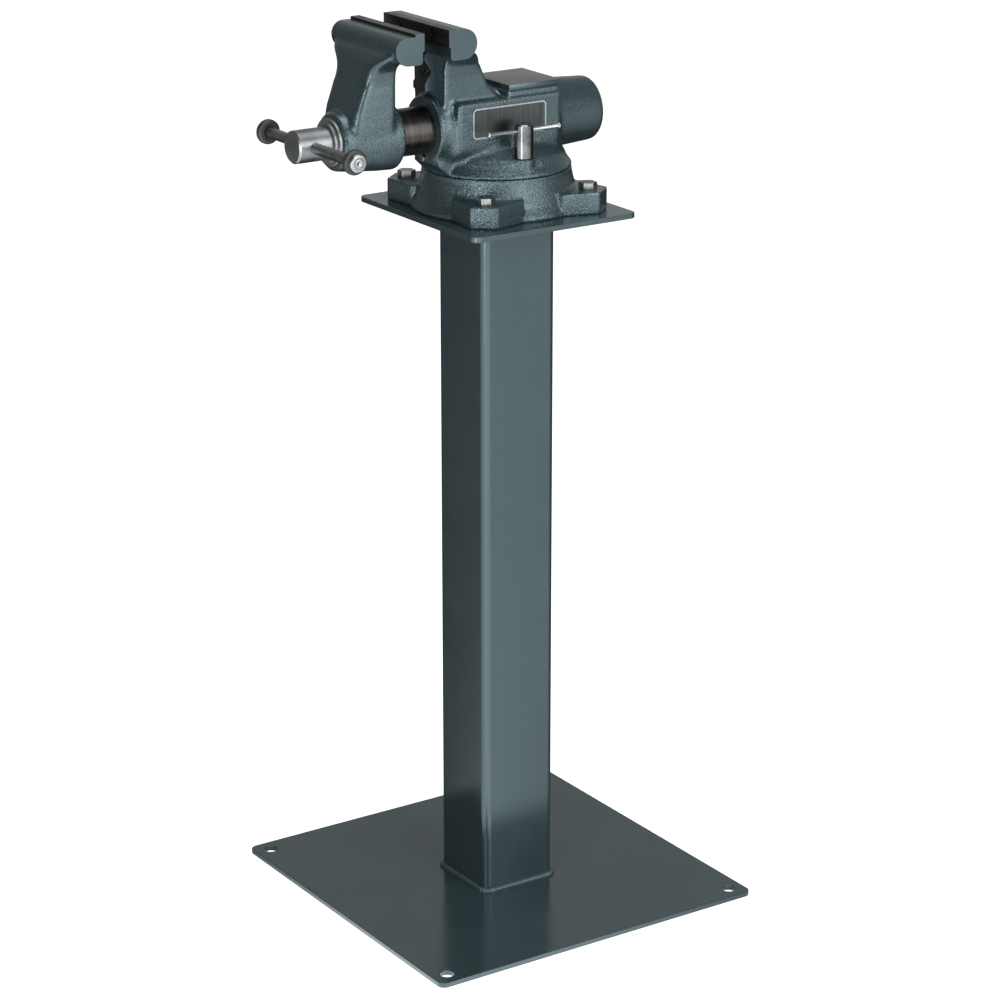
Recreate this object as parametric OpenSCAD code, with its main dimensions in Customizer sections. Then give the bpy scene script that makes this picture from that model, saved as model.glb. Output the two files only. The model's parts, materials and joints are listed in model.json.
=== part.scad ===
// Bench vise bolted on a square steel pedestal stand, in millimetres.
// The origin is the centre of the floor plate's underside, on the post's axis. +Z is up, and the vise's
// handle end points towards -Y. The jaws run along X.

/* [Pedestal] */
// Overall height of the stand, floor to the top of the mounting plate
stand_h = 863.6; // [700:0.1:1000]
// Side of the square floor plate
floor_side = 457.2; // [400:0.1:560]
// Thickness of both plates
plate_t = 6.35; // [5:0.05:9]
// Radius of the plates' corners
plate_corner_r = 10; // [5:0.5:16]
// Diameter of the four anchor holes
anchor_hole_d = 16.5; // [12:0.1:18]
// Distance of an anchor hole's centre from the plate's edges
anchor_inset = 20.6; // [17:0.1:30]
// Side of the square post
post_side = 101.6; // [85:0.1:112]
// Wall of the post
post_wall = 4.8; // [3:0.1:6]
// Outer corner radius of the post
post_corner_r = 9.5; // [7:0.1:14]
// Leg of the fillet welds at both ends of the post
weld_leg = 6; // [4:0.5:8]
// Mounting plate's size along X
mount_plate_w = 254; // [250:0.1:300]
// Mounting plate's size along Y
mount_plate_d = 226; // [214:0.1:250]

/* [Swivel base] */
// Radius of the base's foot
base_foot_r = 102; // [100:0.5:106]
// Radius of the base and the vise body where they meet
base_top_r = 88; // [87:0.5:94]
// Height of the base
base_h = 48; // [46:0.5:52]
// Height of the four bolting lugs
lug_h = 26; // [20:0.5:32]
// Distance of a lug's end face from the swivel axis
lug_reach = 130; // [126:0.5:134]
// Width of a lug's end face
lug_end_w = 31; // [26:0.5:36]
// Width of a lug where it leaves the foot
lug_root_w = 84; // [70:0.5:90]
// Bolt centres from the swivel axis along X
bolt_x = 85; // [81:0.5:88]
// Bolt centres from the swivel axis along Y
bolt_y = 71; // [70:0.5:75]
// Diameter of the base bolts
bolt_d = 12.7; // [10:0.1:13]
// Hexagon of the base bolts and nuts, across flats
bolt_af = 19; // [17:0.1:22]
// Height of a bolt's head
bolt_head_h = 8; // [6:0.1:9]
// Diameter of the pivot spigot
pivot_d = 60; // [50:0.5:64]
// Height of the pivot spigot above the base
pivot_rise = 10; // [6:0.5:12]

/* [Vise body] */
// Height of the spindle's axis above the base
axis_rise = 52.7; // [50:0.1:58]
// Radius of the round front boss
boss_r = 40; // [38:0.1:42]
// Distance of the body's front face from the swivel axis
body_front = 101; // [98:0.5:105]
// Width across the two side pads
pad_w = 92; // [88:0.5:96]
// Front end of the side pads from the swivel axis
pad_front = 82; // [76:0.5:88]
// Rear end of the side pads from the swivel axis
pad_rear = 60; // [56:0.5:66]
// Height of the side pads' upper edge above the spindle's axis
pad_rise = 34; // [32:0.5:38]
// Radius of the rear barrel where it leaves the body
barrel_r = 42; // [41:0.1:44]
// Radius of the rear barrel at its end
barrel_end_r = 38.2; // [37:0.1:41]
// Distance of the barrel's end from the swivel axis
barrel_end = 128; // [124:0.5:140]
// Width of the anvil
anvil_w = 80; // [70:0.5:86]
// Length of the anvil
anvil_l = 72; // [60:0.5:76]
// Height of the anvil's face above the spindle's axis
anvil_rise = 47.8; // [46:0.1:52]
// Thickness of the anvil's slab
anvil_t = 6; // [4:0.5:8]
// Width of the fixed jaw's column
column_w = 68; // [60:0.5:80]
// Length of a name plate
name_l = 101; // [80:0.5:104]
// Height of a name plate
name_h = 35.5; // [30:0.5:38]

/* [Jaws] */
// Width of the jaws
jaw_w = 139.7; // [120:0.1:150]
// Height of the jaws' top above the spindle's axis
jaw_rise = 125.8; // [124:0.1:135]
// Thickness of a jaw insert
insert_t = 12; // [10:0.1:13]
// Height of a jaw insert
insert_h = 20; // [18:0.1:24]
// Distance of the fixed jaw's face from the swivel axis
face_y = 110; // [109:0.5:113]
// Opening between the jaws as the vise stands
jaw_gap = 32; // [20:0.5:50]
// Widest opening between the jaws
jaw_open = 127; // [100:0.5:130]
// Width of the moving jaw's column
moving_column_w = 80; // [70:0.5:84]
// Length of the moving jaw's round boss
moving_boss_l = 78; // [72:0.5:84]
// Width of a pipe jaw
pipe_jaw_w = 26; // [22:0.5:36]
// Height of a pipe jaw
pipe_jaw_h = 44; // [40:0.5:45]

/* [Slide and spindle] */
// Outer diameter of the slide bar
slide_d = 55; // [53:0.1:57]
// Bore of the hollow slide bar
slide_bore_d = 39; // [38.6:0.1:41]
// Length of the slide bar that stays in the body at the widest opening
slide_hold = 76.5; // [66:0.5:80]
// Outer diameter of the long spindle nut
nut_d = 37.5; // [35:0.1:38]
// Diameter of the spindle's thread
thread_d = 25.4; // [22:0.1:26]
// Diameter of the spindle's head
head_d = 38; // [34:0.1:42]
// Length of the spindle's head in front of the jaw
head_l = 43; // [38:0.5:56]
// Diameter of the handle
handle_d = 13; // [10:0.1:15]
// Length of the handle over its end caps
handle_l = 212; // [180:0.5:230]
// How far the handle stands off centre towards +X
handle_shift = 7; // [0:0.5:14]
// Diameter of the rubber rings on the handle
ring_d = 29; // [26:0.5:32]

/* [Swivel locks] */
// Distance of a lock's axis from the swivel axis along X
lock_x = 72; // [71:0.5:73]
// Place of a lock's axis along Y, minus being towards the handle
lock_y = -10; // [-12:0.5:-4]
// Diameter of a lock nut
lock_d = 22; // [20:0.5:24]
// Height of a lock nut
lock_h = 40; // [34:0.5:44]
// Diameter of a lock nut's cross bar
lock_bar_d = 5; // [4:0.1:6]
// Length of a lock nut's cross bar
lock_bar_l = 100; // [90:0.5:108]

/* [Fits] */
// Radial clearance of turning and sliding fits
run_fit = 0.05; // [0.03:0.01:0.09]
// Radial clearance of threads, pins and seats that don't move
seat_fit = 0.05; // [0.03:0.01:0.09]
// Axial clearance of faces that turn past each other
face_gap = 0.1; // [0.05:0.01:0.3]

/* [Hidden] */

$fn = 96;
// Overrun of cuts past the faces that they open
over = 1;

// Heights of the parts of the vise
top_z = stand_h;
seam_z = top_z + base_h;
axis_z = seam_z + axis_rise;
body_z = seam_z + face_gap;
jaw_z = axis_z + jaw_rise;
anvil_z = axis_z + anvil_rise;

// Places along Y, the front being negative
moving_face_y = face_y + jaw_gap;
close_travel = jaw_gap - face_gap * 3;

// Bevel of turned steel edges
edge_in = 0.8;

// Thickness and corners of the slabs that a cast shape is stretched between
slab_t = 0.5;
slab_r = 2;

// Base: walls, annular T slot and ribs
base_wall = 10;
base_lip_h = 5;
slot_r = norm([lock_x, lock_y]);
stud_d = 12;
slot_side = 0.5;
slot_w = stud_d + 2 * slot_side;
slot_lip = 12;
slot_shoulder_w = 24.6;
slot_shoulder_h = 8.5;
slot_floor = 7;
web_t = 10;
rib_t = 8;
hub_r = pivot_d / 2 + seat_fit;
base_shelf_h = base_h - slot_lip - slot_shoulder_h - slot_floor;
bolt_hole_fit = 0.4;
bolt_angle = atan2(bolt_y, bolt_x);
washer_t = 1.6;
washer_d = bolt_af * 1.4;
nut_h = bolt_d * 0.5;
bolt_tail = 2;
spot_gap = 0.6;

// Body: skirt, bores and walls
skirt_band = 3;
skirt_top_h = 20;
skirt_in = 8;
skirt_round = 4;
pocket_wall = 8;
bore_l = 120;
relief_in = 3.5;
relief_r = slide_d / 2 + relief_in;
rear_wall = 20;
barrel_round = 5;
nut_seat = 8;
nut_rear = barrel_end - rear_wall + nut_seat;
boss_step = 3;
boss_bevel = 2;
boss_cone_l = 8;
pivot_gap = 0.5;
neck_in = 6;
pad_round = 14;
column_front_in = 8;
column_round = 4;
column_back_top = 51.5;
column_back_low = 31.5;
column_foot = 20;
chin_in = 4;
chin_low_in = 1.5;
chin_w = 56;
cap_depth = 38;
cap_r = 17.5;
cap_low = jaw_rise - 2 * cap_r;
cap_front_in = 2.5;
cap_round = 4;
anvil_over = 3;
anvil_rear = pad_rear + anvil_over;
anvil_step = 3;

// Screws and pins
screw_d = 8;
screw_head_d = 13;
screw_head_h = 6;
screw_grip = 18;
screw_sink = 1;
screw_short = 2;
screw_x = jaw_w / 4;
pipe_screw_d = 6;
pipe_head_d = 10;
anchor_d = 10;
anchor_head_d = 16;
anchor_head_h = 6;
anchor_sink = 0.5;
anchor_gap = 2.5;
dowel_d = 4;
dowel_up = nut_d * 0.34;
key_w = 8;
key_l = 40;
key_in = 2.9;
key_out = 3.5;
key_gap = 0.4;
key_slot_over = 6;
key_screw_d = 3.8;
key_screw_l = 13;
key_screw_up = -slide_d / 2 - key_out - key_screw_d * 0.66;
key_head_d = 7.6;
key_head_h = 2.5;
pin_d = 8;
pin_sink = 3;
pin_short = 1;
set_d = 2.5;

// Pipe jaws
pipe_t = 15;
pipe_sink = 2;
moving_pipe_sink = 7;
pipe_rise = 46.5;
pipe_low = axis_z + pipe_rise;
pipe_bevel = 1;
pipe_head_sink = 2;
groove_d = 8.5;
groove_half = 13;
tooth_count = 5;
tooth_d = 1.2;

// Moving jaw
moving_boss_in = 5;
moving_boss_rear = moving_face_y + moving_boss_in;
moving_boss_front = moving_boss_rear + moving_boss_l;
moving_nose_r = 30;
moving_low_r = 36.5;
moving_round = 6;
moving_rear_bevel = 3;
moving_column_in = 17;
moving_column_y = moving_face_y + moving_column_in;
moving_column_round = 9;
moving_cap_drop = 3;
moving_seat_l = 48;
slide_end_gap = 0.5;
slide_front = -moving_boss_rear - moving_seat_l + slide_end_gap;
slide_rear = -body_front + slide_hold + jaw_open - jaw_gap;
gusset_w = 118;
gusset_in = 3;
gusset_drop = 30;

// Spindle end
collar_r = 28;
collar_nose_r = 23.5;
collar_t = 3.5;
collar_in = 4;
thrust_r = 23;
thrust_t = 6;
thrust_washer_t = 3;
thrust_place = -moving_boss_front + collar_in + thrust_t + 2 * face_gap;
recess_r = 24.5;
journal_d = 28;
journal_over = 6;
circlip_t = 1.6;
circlip_r = 17;
circlip_in = 1;
circlip_y = -moving_boss_front + moving_boss_l - moving_seat_l + 2 * face_gap;
handle_inset = 20;
head_round = 2;
nut_front = 70;
nut_plug = 12;
nut_bore_end = barrel_end - rear_wall - nut_plug;
spindle_gap = 2;
spindle_rear = nut_bore_end - close_travel - spindle_gap;

// Handle and lock details
cap_d = 21;
cap_t = 6;
cap_bevel = 1.5;
cap_dimple_d = 6;
cap_dimple_in = 1.2;
cap_floor = cap_t * 0.4;
ring_t = 9;
ring_bevel = 2;
lock_bar_drop = 8;
lock_crown = 2;
lock_bore_h = lock_h - lock_bar_drop - lock_bar_d / 2 - lock_crown;
lock_pad = 1.5;
lock_pad_edge = 1.5;
lock_z = body_z + skirt_top_h + lock_pad + face_gap;
upset_t = 3;
upset_d = lock_bar_d * 1.45;
stud_head_w = 12.4;
stud_head_l = 22;
stud_head_t = 7.5;
stud_gap = 0.3;
stud_short = 1;

// Name plates
name_t = 1.2;
name_sink = 0.6;
name_rim_w = 1.8;
name_rim_t = 0.6;
name_corner_r = 5;
name_front = 63;
name_low = 8.7;
name_pin_d = 2.4;
name_pin_l = 6;
name_pin_in = 6;

// Colours as the photograph shows them
paint = [0.22, 0.29, 0.32];
steel = [0.55, 0.55, 0.53];
dark_steel = [0.25, 0.24, 0.23];
bright_steel = [0.72, 0.72, 0.72];
zinc = [0.66, 0.68, 0.68];
rubber = [0.08, 0.08, 0.08];
bronze = [0.62, 0.46, 0.26];

// A rectangle from its lowest corner to its highest
module box2(low, high) {
    translate(low) square(high - low);
}

// A box from its lowest corner to its highest
module box3(low, high) {
    translate(low) cube(high - low);
}

// A rectangle with round corners, about the origin
module round_rect(w, d, r) {
    square([w - 2 * r, d], center = true);
    square([w, d - 2 * r], center = true);
    for (x = [-1, 1], y = [-1, 1])
        translate([x * (w / 2 - r), y * (d / 2 - r)]) circle(r);
}

// A plate with round corners, its underside at z
module round_plate(w, d, t, r, z) {
    translate([0, 0, z]) linear_extrude(t) round_rect(w, d, r);
}

// A cylinder along +Y, from one Y to another, on the spindle's axis or above it
module axle(from_y, to_y, r, up = 0) {
    translate([0, from_y, axis_z + up]) rotate([-90, 0, 0]) cylinder(h = to_y - from_y, r = r);
}

// A turned shape on the spindle's axis: its points are a radius and a place along Y
module turned(points) {
    translate([0, 0, axis_z]) rotate([-90, 0, 0]) rotate_extrude() polygon(points);
}

// An outline of Y and Z drawn about the spindle's axis, extruded across the jaws
module across(w) {
    translate([-w / 2, 0, axis_z]) rotate([90, 0, 90]) linear_extrude(w) children();
}

// A thin level slab with round corners: its width, its two ends along Y and its height above the axis
module slab(w, from_y, to_y, up, r = slab_r) {
    translate([0, (from_y + to_y) / 2, axis_z + up]) linear_extrude(slab_t)
        round_rect(w, to_y - from_y, r, $fn = 32);
}

// The same piece on both sides of the vise
module at_sides() {
    for (side = [-1, 1]) translate([side * lock_x, lock_y, 0]) children();
}

module at_bolts() {
    for (x = [-1, 1], y = [-1, 1]) translate([x * bolt_x, y * bolt_y, 0]) children();
}

module hexagon(af, h) {
    cylinder(h = h, d = af / cos(30), $fn = 6);
}

module floor_plate() {
    place = floor_side / 2 - anchor_inset;
    color(paint) difference() {
        round_plate(floor_side, floor_side, plate_t, plate_corner_r, 0);
        for (x = [-1, 1], y = [-1, 1])
            translate([x * place, y * place, -over]) cylinder(h = plate_t + 2 * over, d = anchor_hole_d);
    }
}

module post_tube() {
    inner = post_side - 2 * post_wall;
    length = stand_h - 2 * plate_t;
    color(paint) translate([0, 0, plate_t]) linear_extrude(length) difference() {
        round_rect(post_side, post_side, post_corner_r);
        round_rect(inner, inner, post_corner_r - post_wall);
    }
}

module mounting_plate() {
    color(paint) difference() {
        round_plate(mount_plate_w, mount_plate_d, plate_t, plate_corner_r, stand_h - plate_t);
        at_bolts() translate([0, 0, stand_h - plate_t - over])
            cylinder(h = plate_t + 2 * over, d = bolt_d + 2 * bolt_hole_fit);
    }
}

// The weld bead's section: its corner at the origin, a slightly hollow face
module weld_section() {
    difference() {
        square(weld_leg);
        translate([weld_leg, weld_leg] * 1.9) circle(weld_leg * 2.1);
    }
}

// A weld bead round the post, its foot at z = 0
module weld_ring() {
    half = post_side / 2;
    straight = post_side - 2 * post_corner_r;
    for (turn = [0:90:270]) rotate(turn) {
        translate([half + seat_fit, straight / 2, 0]) rotate([90, 0, 0]) linear_extrude(straight)
            weld_section();
        translate([half - post_corner_r, half - post_corner_r, 0]) rotate_extrude(angle = 90)
            translate([post_corner_r + seat_fit, 0]) weld_section();
    }
}

module lower_weld() {
    color(paint) translate([0, 0, plate_t]) weld_ring();
}

module upper_weld() {
    color(paint) translate([0, 0, stand_h - plate_t]) mirror([0, 0, 1]) weld_ring();
}

// One bolting lug, seen from above, along +X
module lug_outline() {
    polygon([[0, 0], [base_foot_r * 0.9, -lug_root_w / 2], [lug_reach, -lug_end_w / 2],
        [lug_reach, lug_end_w / 2], [base_foot_r * 0.9, lug_root_w / 2]]);
}

// The base's outer wall: its radius at the lip and at three heights above
base_outline = [[0, 0], [base_foot_r, 0], [base_foot_r, base_lip_h],
    [base_top_r + (base_foot_r - base_top_r) * 0.6, base_h * 0.3],
    [base_top_r + (base_foot_r - base_top_r) * 0.22, base_h * 0.62],
    [base_top_r, base_h * 0.9], [base_top_r, base_h], [0, base_h]];

module swivel_base() {
    inner_r = slot_r - slot_shoulder_w / 2 - pocket_wall;
    color(paint) translate([0, 0, top_z]) difference() {
        union() {
            rotate_extrude() polygon(base_outline);
            cylinder(h = base_h + pivot_rise, d = pivot_d);
            for (x = [-1, 1], y = [-1, 1]) rotate(x * y * bolt_angle + (x < 0 ? 180 : 0))
                linear_extrude(lug_h) lug_outline();
        }
        // hollow below, with a hub and four ribs left standing
        difference() {
            union() {
                translate([0, 0, -over]) cylinder(h = base_h - web_t + over, r = inner_r);
                rotate_extrude() polygon([[0, -over], [base_foot_r - base_wall, -over],
                    [base_foot_r - base_wall, 0], [base_top_r - base_wall * 0.4, base_shelf_h],
                    [0, base_shelf_h]]);
            }
            cylinder(h = base_h, r = hub_r * 0.7);
            for (turn = [0, 90]) rotate(turn)
                translate([-base_foot_r, -rib_t / 2, 0]) cube([2 * base_foot_r, rib_t, base_h]);
        }
        // the annular T slot for the lock studs
        rotate_extrude() union() {
            box2([slot_r - slot_w / 2, base_h - slot_lip - over], [slot_r + slot_w / 2, base_h + over]);
            box2([slot_r - slot_shoulder_w / 2, base_h - slot_lip - slot_shoulder_h],
                [slot_r + slot_shoulder_w / 2, base_h - slot_lip]);
        }
        at_bolts() translate([0, 0, -over]) cylinder(h = lug_h + 2 * over, d = bolt_d + 2 * bolt_hole_fit);
        // room for the bolt heads, should the skirt reach over them
        at_bolts() translate([0, 0, lug_h]) cylinder(h = base_h, d = bolt_af / cos(30) + 2 * spot_gap);
    }
}

module base_bolts() {
    length = lug_h + plate_t + washer_t + nut_h + bolt_tail;
    color(zinc) at_bolts() {
        translate([0, 0, top_z + lug_h]) intersection() {
            hexagon(bolt_af, bolt_head_h);
            cylinder(h = bolt_head_h, r1 = bolt_af * 0.75, r2 = bolt_af * 0.75 - bolt_head_h * 0.3);
        }
        translate([0, 0, top_z + lug_h - length]) cylinder(h = length, d = bolt_d);
    }
}

module base_washers() {
    color(zinc) at_bolts() translate([0, 0, top_z - plate_t - washer_t]) difference() {
        cylinder(h = washer_t, d = washer_d);
        translate([0, 0, -over]) cylinder(h = washer_t + 2 * over, d = bolt_d + 2 * bolt_hole_fit);
    }
}

module base_nuts() {
    color(zinc) at_bolts() translate([0, 0, top_z - plate_t - washer_t - nut_h]) difference() {
        hexagon(bolt_af, nut_h);
        translate([0, 0, -over]) cylinder(h = nut_h + 2 * over, d = bolt_d + 2 * seat_fit);
    }
}

// Outline of a jaw's cap in Y and Z, its face towards -Y at y = 0 and its top at the jaws' height
module cap_outline(top_drop) {
    front = cap_front_in;
    back = cap_depth - cap_r;
    top = jaw_rise - top_drop;
    low = cap_low;
    difference() {
        union() {
            intersection() {
                translate([back, jaw_rise - cap_r]) circle(cap_r);
                box2([front, low - over], [back + cap_r, top]);
            }
            box2([front + cap_round, low], [back, top]);
            box2([front, low + cap_round], [back, top]);
            translate([front + cap_round, low + cap_round]) circle(cap_round);
        }
        box2([front - over, jaw_rise - insert_h], [insert_t, top + over]);
    }
}

// Screw holes behind a jaw insert, from the insert's back face towards +Y
module insert_screw_holes() {
    for (x = [-1, 1]) translate([x * screw_x, 0, jaw_z - insert_h / 2]) rotate([-90, 0, 0])
        cylinder(h = screw_grip, d = screw_d + 2 * seat_fit);
}

// The fixed jaw's side view in Y and Z: its column, sloping down to the anvil
column_top = cap_low + cap_round;
column_face_y = body_front - column_front_in;
column_outline = [[-column_face_y, 0], [-column_face_y, column_top],
    [-column_back_top - cap_round, column_top],
    [-column_back_top, column_top - cap_round], [-column_back_low, anvil_rise],
    [-column_back_low + column_foot * 0.6, anvil_rise - column_foot * 0.5],
    [-column_back_low + column_foot, anvil_rise - column_foot], [-column_back_low + column_foot, 0]];

// The web under the front boss, down to the skirt
chin_outline = [[-body_front + chin_in, -boss_r * 0.8], [-body_front + chin_in, -boss_r],
    [-base_top_r + chin_low_in, body_z - axis_z + skirt_band], [0, body_z - axis_z + skirt_band],
    [0, -boss_r * 0.8]];

module body_skirt() {
    mid = [base_top_r - skirt_in, skirt_top_h] - [skirt_round, skirt_round];
    translate([0, 0, body_z]) rotate_extrude() polygon([[0, 0], [base_top_r, 0], [base_top_r, skirt_band],
        [base_top_r - skirt_in * 0.7, skirt_top_h * 0.5],
        for (a = [0:15:90]) mid + skirt_round * [cos(a), sin(a)], [0, skirt_top_h]]);
}

module body_casting() {
    color(paint) difference() {
        union() {
            body_skirt();
            // neck between the skirt and the pads
            translate([0, (pad_rear - pad_front) / 2, body_z + skirt_top_h / 2])
                linear_extrude(axis_rise - skirt_top_h / 2)
                    round_rect(pad_w - 2 * neck_in, pad_front + pad_rear - 2 * neck_in, pad_round);
            // side pads, round along their lower edges
            translate([0, pad_rear, axis_z]) rotate([90, 0, 0]) linear_extrude(pad_rear + pad_front) {
                flat = pad_w / 2 - pad_round;
                box2([-pad_w / 2, -pad_rise / 2], [pad_w / 2, pad_rise]);
                box2([-flat, -pad_rise / 2 - pad_round], [flat, pad_rise]);
                for (side = [-1, 1]) translate([side * flat, -pad_rise / 2]) circle(pad_round);
            }
            axle(-pad_front, pad_rear, boss_r + boss_step);
            turned([[0, -body_front], [boss_r - boss_bevel, -body_front], [boss_r, -body_front + boss_bevel],
                [boss_r, -pad_front - boss_cone_l], [boss_r + boss_step, -pad_front], [0, -pad_front]]);
            turned([[0, pad_rear], [barrel_r, pad_rear],
                for (a = [0:15:90]) [barrel_end_r, barrel_end] - barrel_round * [1 - cos(a), 1 - sin(a)],
                [0, barrel_end]]);
            across(chin_w) polygon(chin_outline);
            // column of the fixed jaw, with round front edges
            intersection() {
                across(column_w) polygon(column_outline);
                translate([0, 0, axis_z]) linear_extrude(jaw_rise)
                    round_rect(column_w, 2 * column_face_y, column_round);
            }
            // its widening under the cap
            hull() {
                front = -body_front + gusset_in;
                slab(gusset_w, front, -column_back_top - 2 * gusset_in, cap_low + gusset_in);
                slab(column_w - gusset_in, -column_face_y, -column_back_top,
                    cap_low - gusset_drop / 2);
            }
            // cap of the fixed jaw
            translate([0, -face_y, 0]) across(jaw_w) cap_outline(0);
            // anvil: a slab on a stepped block
            anvil_low = anvil_z - anvil_t;
            block_x = anvil_w / 2 + anvil_step;
            box3([-anvil_w / 2, anvil_rear - anvil_l, anvil_low], [anvil_w / 2, anvil_rear, anvil_z]);
            box3([-block_x, anvil_rear - anvil_l - anvil_step, axis_z],
                [block_x, anvil_rear - anvil_step, anvil_low]);
            // pads under the lock nuts
            at_sides() translate([0, 0, body_z])
                cylinder(h = skirt_top_h + lock_pad, d = lock_d + 2 * lock_pad_edge);
        }
        // slide bore, its relief and the nut's seat in the rear wall
        axle(-body_front - over, -body_front + bore_l + over, slide_d / 2 + run_fit);
        axle(-body_front + bore_l, barrel_end - rear_wall, relief_r);
        axle(barrel_end - rear_wall - over, nut_rear, nut_d / 2 + seat_fit);
        axle(barrel_end - rear_wall, barrel_end + over, anchor_d / 2 + seat_fit);
        axle(barrel_end - anchor_head_h, barrel_end + over, anchor_head_d / 2 + bolt_hole_fit);
        axle(nut_rear - over, nut_rear + dowel_d, dowel_d / 2 + seat_fit, dowel_up);
        // pocket for the key, and its screw
        box3([-key_w / 2 - seat_fit, -body_front - over, axis_z - slide_d / 2 - key_out - seat_fit],
            [key_w / 2 + seat_fit, -body_front + key_l + seat_fit, axis_z]);
        axle(-body_front - over, -body_front + key_screw_l + over, key_screw_d / 2 + seat_fit, key_screw_up);
        // pivot bore and the pocket round it
        translate([0, 0, body_z - over])
            cylinder(h = pivot_rise + over + pivot_gap, r = pivot_d / 2 + run_fit);
        translate([0, 0, body_z - over]) difference() {
            cylinder(h = skirt_top_h / 2 + over, r = slot_r - slot_w);
            translate([0, 0, -over]) cylinder(h = skirt_top_h + 3 * over, r = pivot_d / 2 + pocket_wall);
        }
        at_sides() translate([0, 0, body_z - over])
            cylinder(h = skirt_top_h + lock_pad + 2 * over, d = stud_d + 2 * bolt_hole_fit);
        // seats of the insert's screws, the pipe jaw and the name plates
        translate([0, -face_y + insert_t, 0]) insert_screw_holes();
        translate([0, -column_face_y + pipe_sink, 0]) pipe_pocket();
        for (side = [-1, 1]) scale([side, 1, 1]) name_pocket();
    }
}

// Room for a pipe jaw whose back is at y = 0, and for its screw behind it
module pipe_pocket() {
    box3([-pipe_jaw_w / 2 - seat_fit, -pipe_t * 2, pipe_low - seat_fit],
        [pipe_jaw_w / 2 + seat_fit, 0, pipe_low + pipe_jaw_h + seat_fit]);
    translate([0, -over, pipe_low + pipe_jaw_h / 2]) rotate([-90, 0, 0])
        cylinder(h = screw_grip + over, d = pipe_screw_d + 2 * seat_fit);
}

// The front of a pipe jaw in Y and Z: a toothed V that runs along X, its back at y = 0
function tooth_line(low, high) = [for (i = [0:tooth_count - 1], half = [0, 1])
    low + (high - low) * (i + half / 2) / tooth_count + (half == 1 ? [tooth_d * 0.7, 0] : [0, 0])];

module pipe_jaw_body() {
    mid = pipe_jaw_h / 2;
    front = -pipe_t;
    lower = tooth_line([front, mid - groove_half], [front + groove_d, mid]);
    upper = tooth_line([front + groove_d, mid], [front, mid + groove_half]);
    difference() {
        translate([-pipe_jaw_w / 2, 0, pipe_low]) rotate([90, 0, 90]) linear_extrude(pipe_jaw_w)
            polygon(concat([[0, 0], [front + pipe_bevel, 0], [front, pipe_bevel]], lower, upper,
                [[front, mid + groove_half], [front, pipe_jaw_h - pipe_bevel],
                    [front + pipe_bevel, pipe_jaw_h], [0, pipe_jaw_h]]));
        translate([0, front - over, pipe_low + mid]) rotate([-90, 0, 0]) {
            cylinder(h = pipe_t + 2 * over, d = pipe_screw_d + 2 * seat_fit);
            cylinder(h = groove_d + pipe_head_sink + over, d = pipe_head_d + 2 * seat_fit);
        }
    }
}

module pipe_screw_body() {
    seat = -pipe_t + groove_d + pipe_head_sink;
    translate([0, 0, pipe_low + pipe_jaw_h / 2]) rotate([-90, 0, 0]) {
        translate([0, 0, seat - pipe_screw_d / 2]) difference() {
            cylinder(h = pipe_screw_d / 2, d = pipe_head_d);
            translate([0, 0, -over]) hexagon(pipe_screw_d * 0.6, pipe_screw_d * 0.3 + over);
        }
        translate([0, 0, seat]) cylinder(h = screw_grip - screw_short - seat, d = pipe_screw_d);
    }
}

// Room for a name plate and its pins on the +X side
module name_pocket() {
    box_low = [pad_w / 2 - name_sink, -name_front - seat_fit, axis_z - name_low - seat_fit];
    box_high = [pad_w / 2 + over, name_l - name_front + seat_fit, axis_z - name_low + name_h + seat_fit];
    box3(box_low, box_high);
    at_name_pins() rotate([0, -90, 0]) cylinder(h = name_pin_l, d = name_pin_d + 2 * seat_fit);
}

module at_name_pins() {
    for (y = [name_pin_in, name_l - name_pin_in])
        translate([pad_w / 2 - name_sink, y - name_front, axis_z - name_low + name_h / 2]) children();
}

// A bare name plate on the +X side: a sheet with a raised rim
module name_plate_body() {
    back = pad_w / 2 - name_sink;
    mid_y = name_l / 2 - name_front;
    mid_z = axis_z - name_low + name_h / 2;
    difference() {
        translate([back, mid_y, mid_z]) rotate([90, 0, 90]) union() {
            linear_extrude(name_t) round_rect(name_l, name_h, name_corner_r);
            linear_extrude(name_t + name_rim_t) difference() {
                round_rect(name_l, name_h, name_corner_r);
                round_rect(name_l - 2 * name_rim_w, name_h - 2 * name_rim_w, name_corner_r - name_rim_w);
            }
        }
        at_name_pins() translate([-over, 0, 0]) rotate([0, 90, 0])
            cylinder(h = name_t + 2 * over, d = name_pin_d + 2 * seat_fit);
    }
}

module right_name_plate() {
    color(steel) name_plate_body();
}

module left_name_plate() {
    color(steel) scale([-1, 1, 1]) name_plate_body();
}

module name_plate_pins() {
    color(steel) for (side = [-1, 1]) scale([side, 1, 1]) at_name_pins() {
        translate([name_t, 0, 0]) rotate([0, 90, 0]) cylinder(h = name_rim_t, d = name_pin_d * 1.6);
        translate([name_t, 0, 0]) rotate([0, -90, 0])
            cylinder(h = name_t + name_pin_l * 0.8, d = name_pin_d);
    }
}

// A hardened jaw insert, its face at y = 0 towards -Y, drilled for two sunk cap screws
module insert_body() {
    difference() {
        box3([-jaw_w / 2, 0, jaw_z - insert_h], [jaw_w / 2, insert_t, jaw_z]);
        for (x = [-1, 1]) translate([x * screw_x, 0, jaw_z - insert_h / 2]) rotate([-90, 0, 0]) {
            translate([0, 0, -over]) cylinder(h = insert_t + 2 * over, d = screw_d + 2 * seat_fit);
            translate([0, 0, -over])
                cylinder(h = screw_sink + screw_head_h + over, d = screw_head_d + 2 * seat_fit);
        }
    }
}

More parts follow.
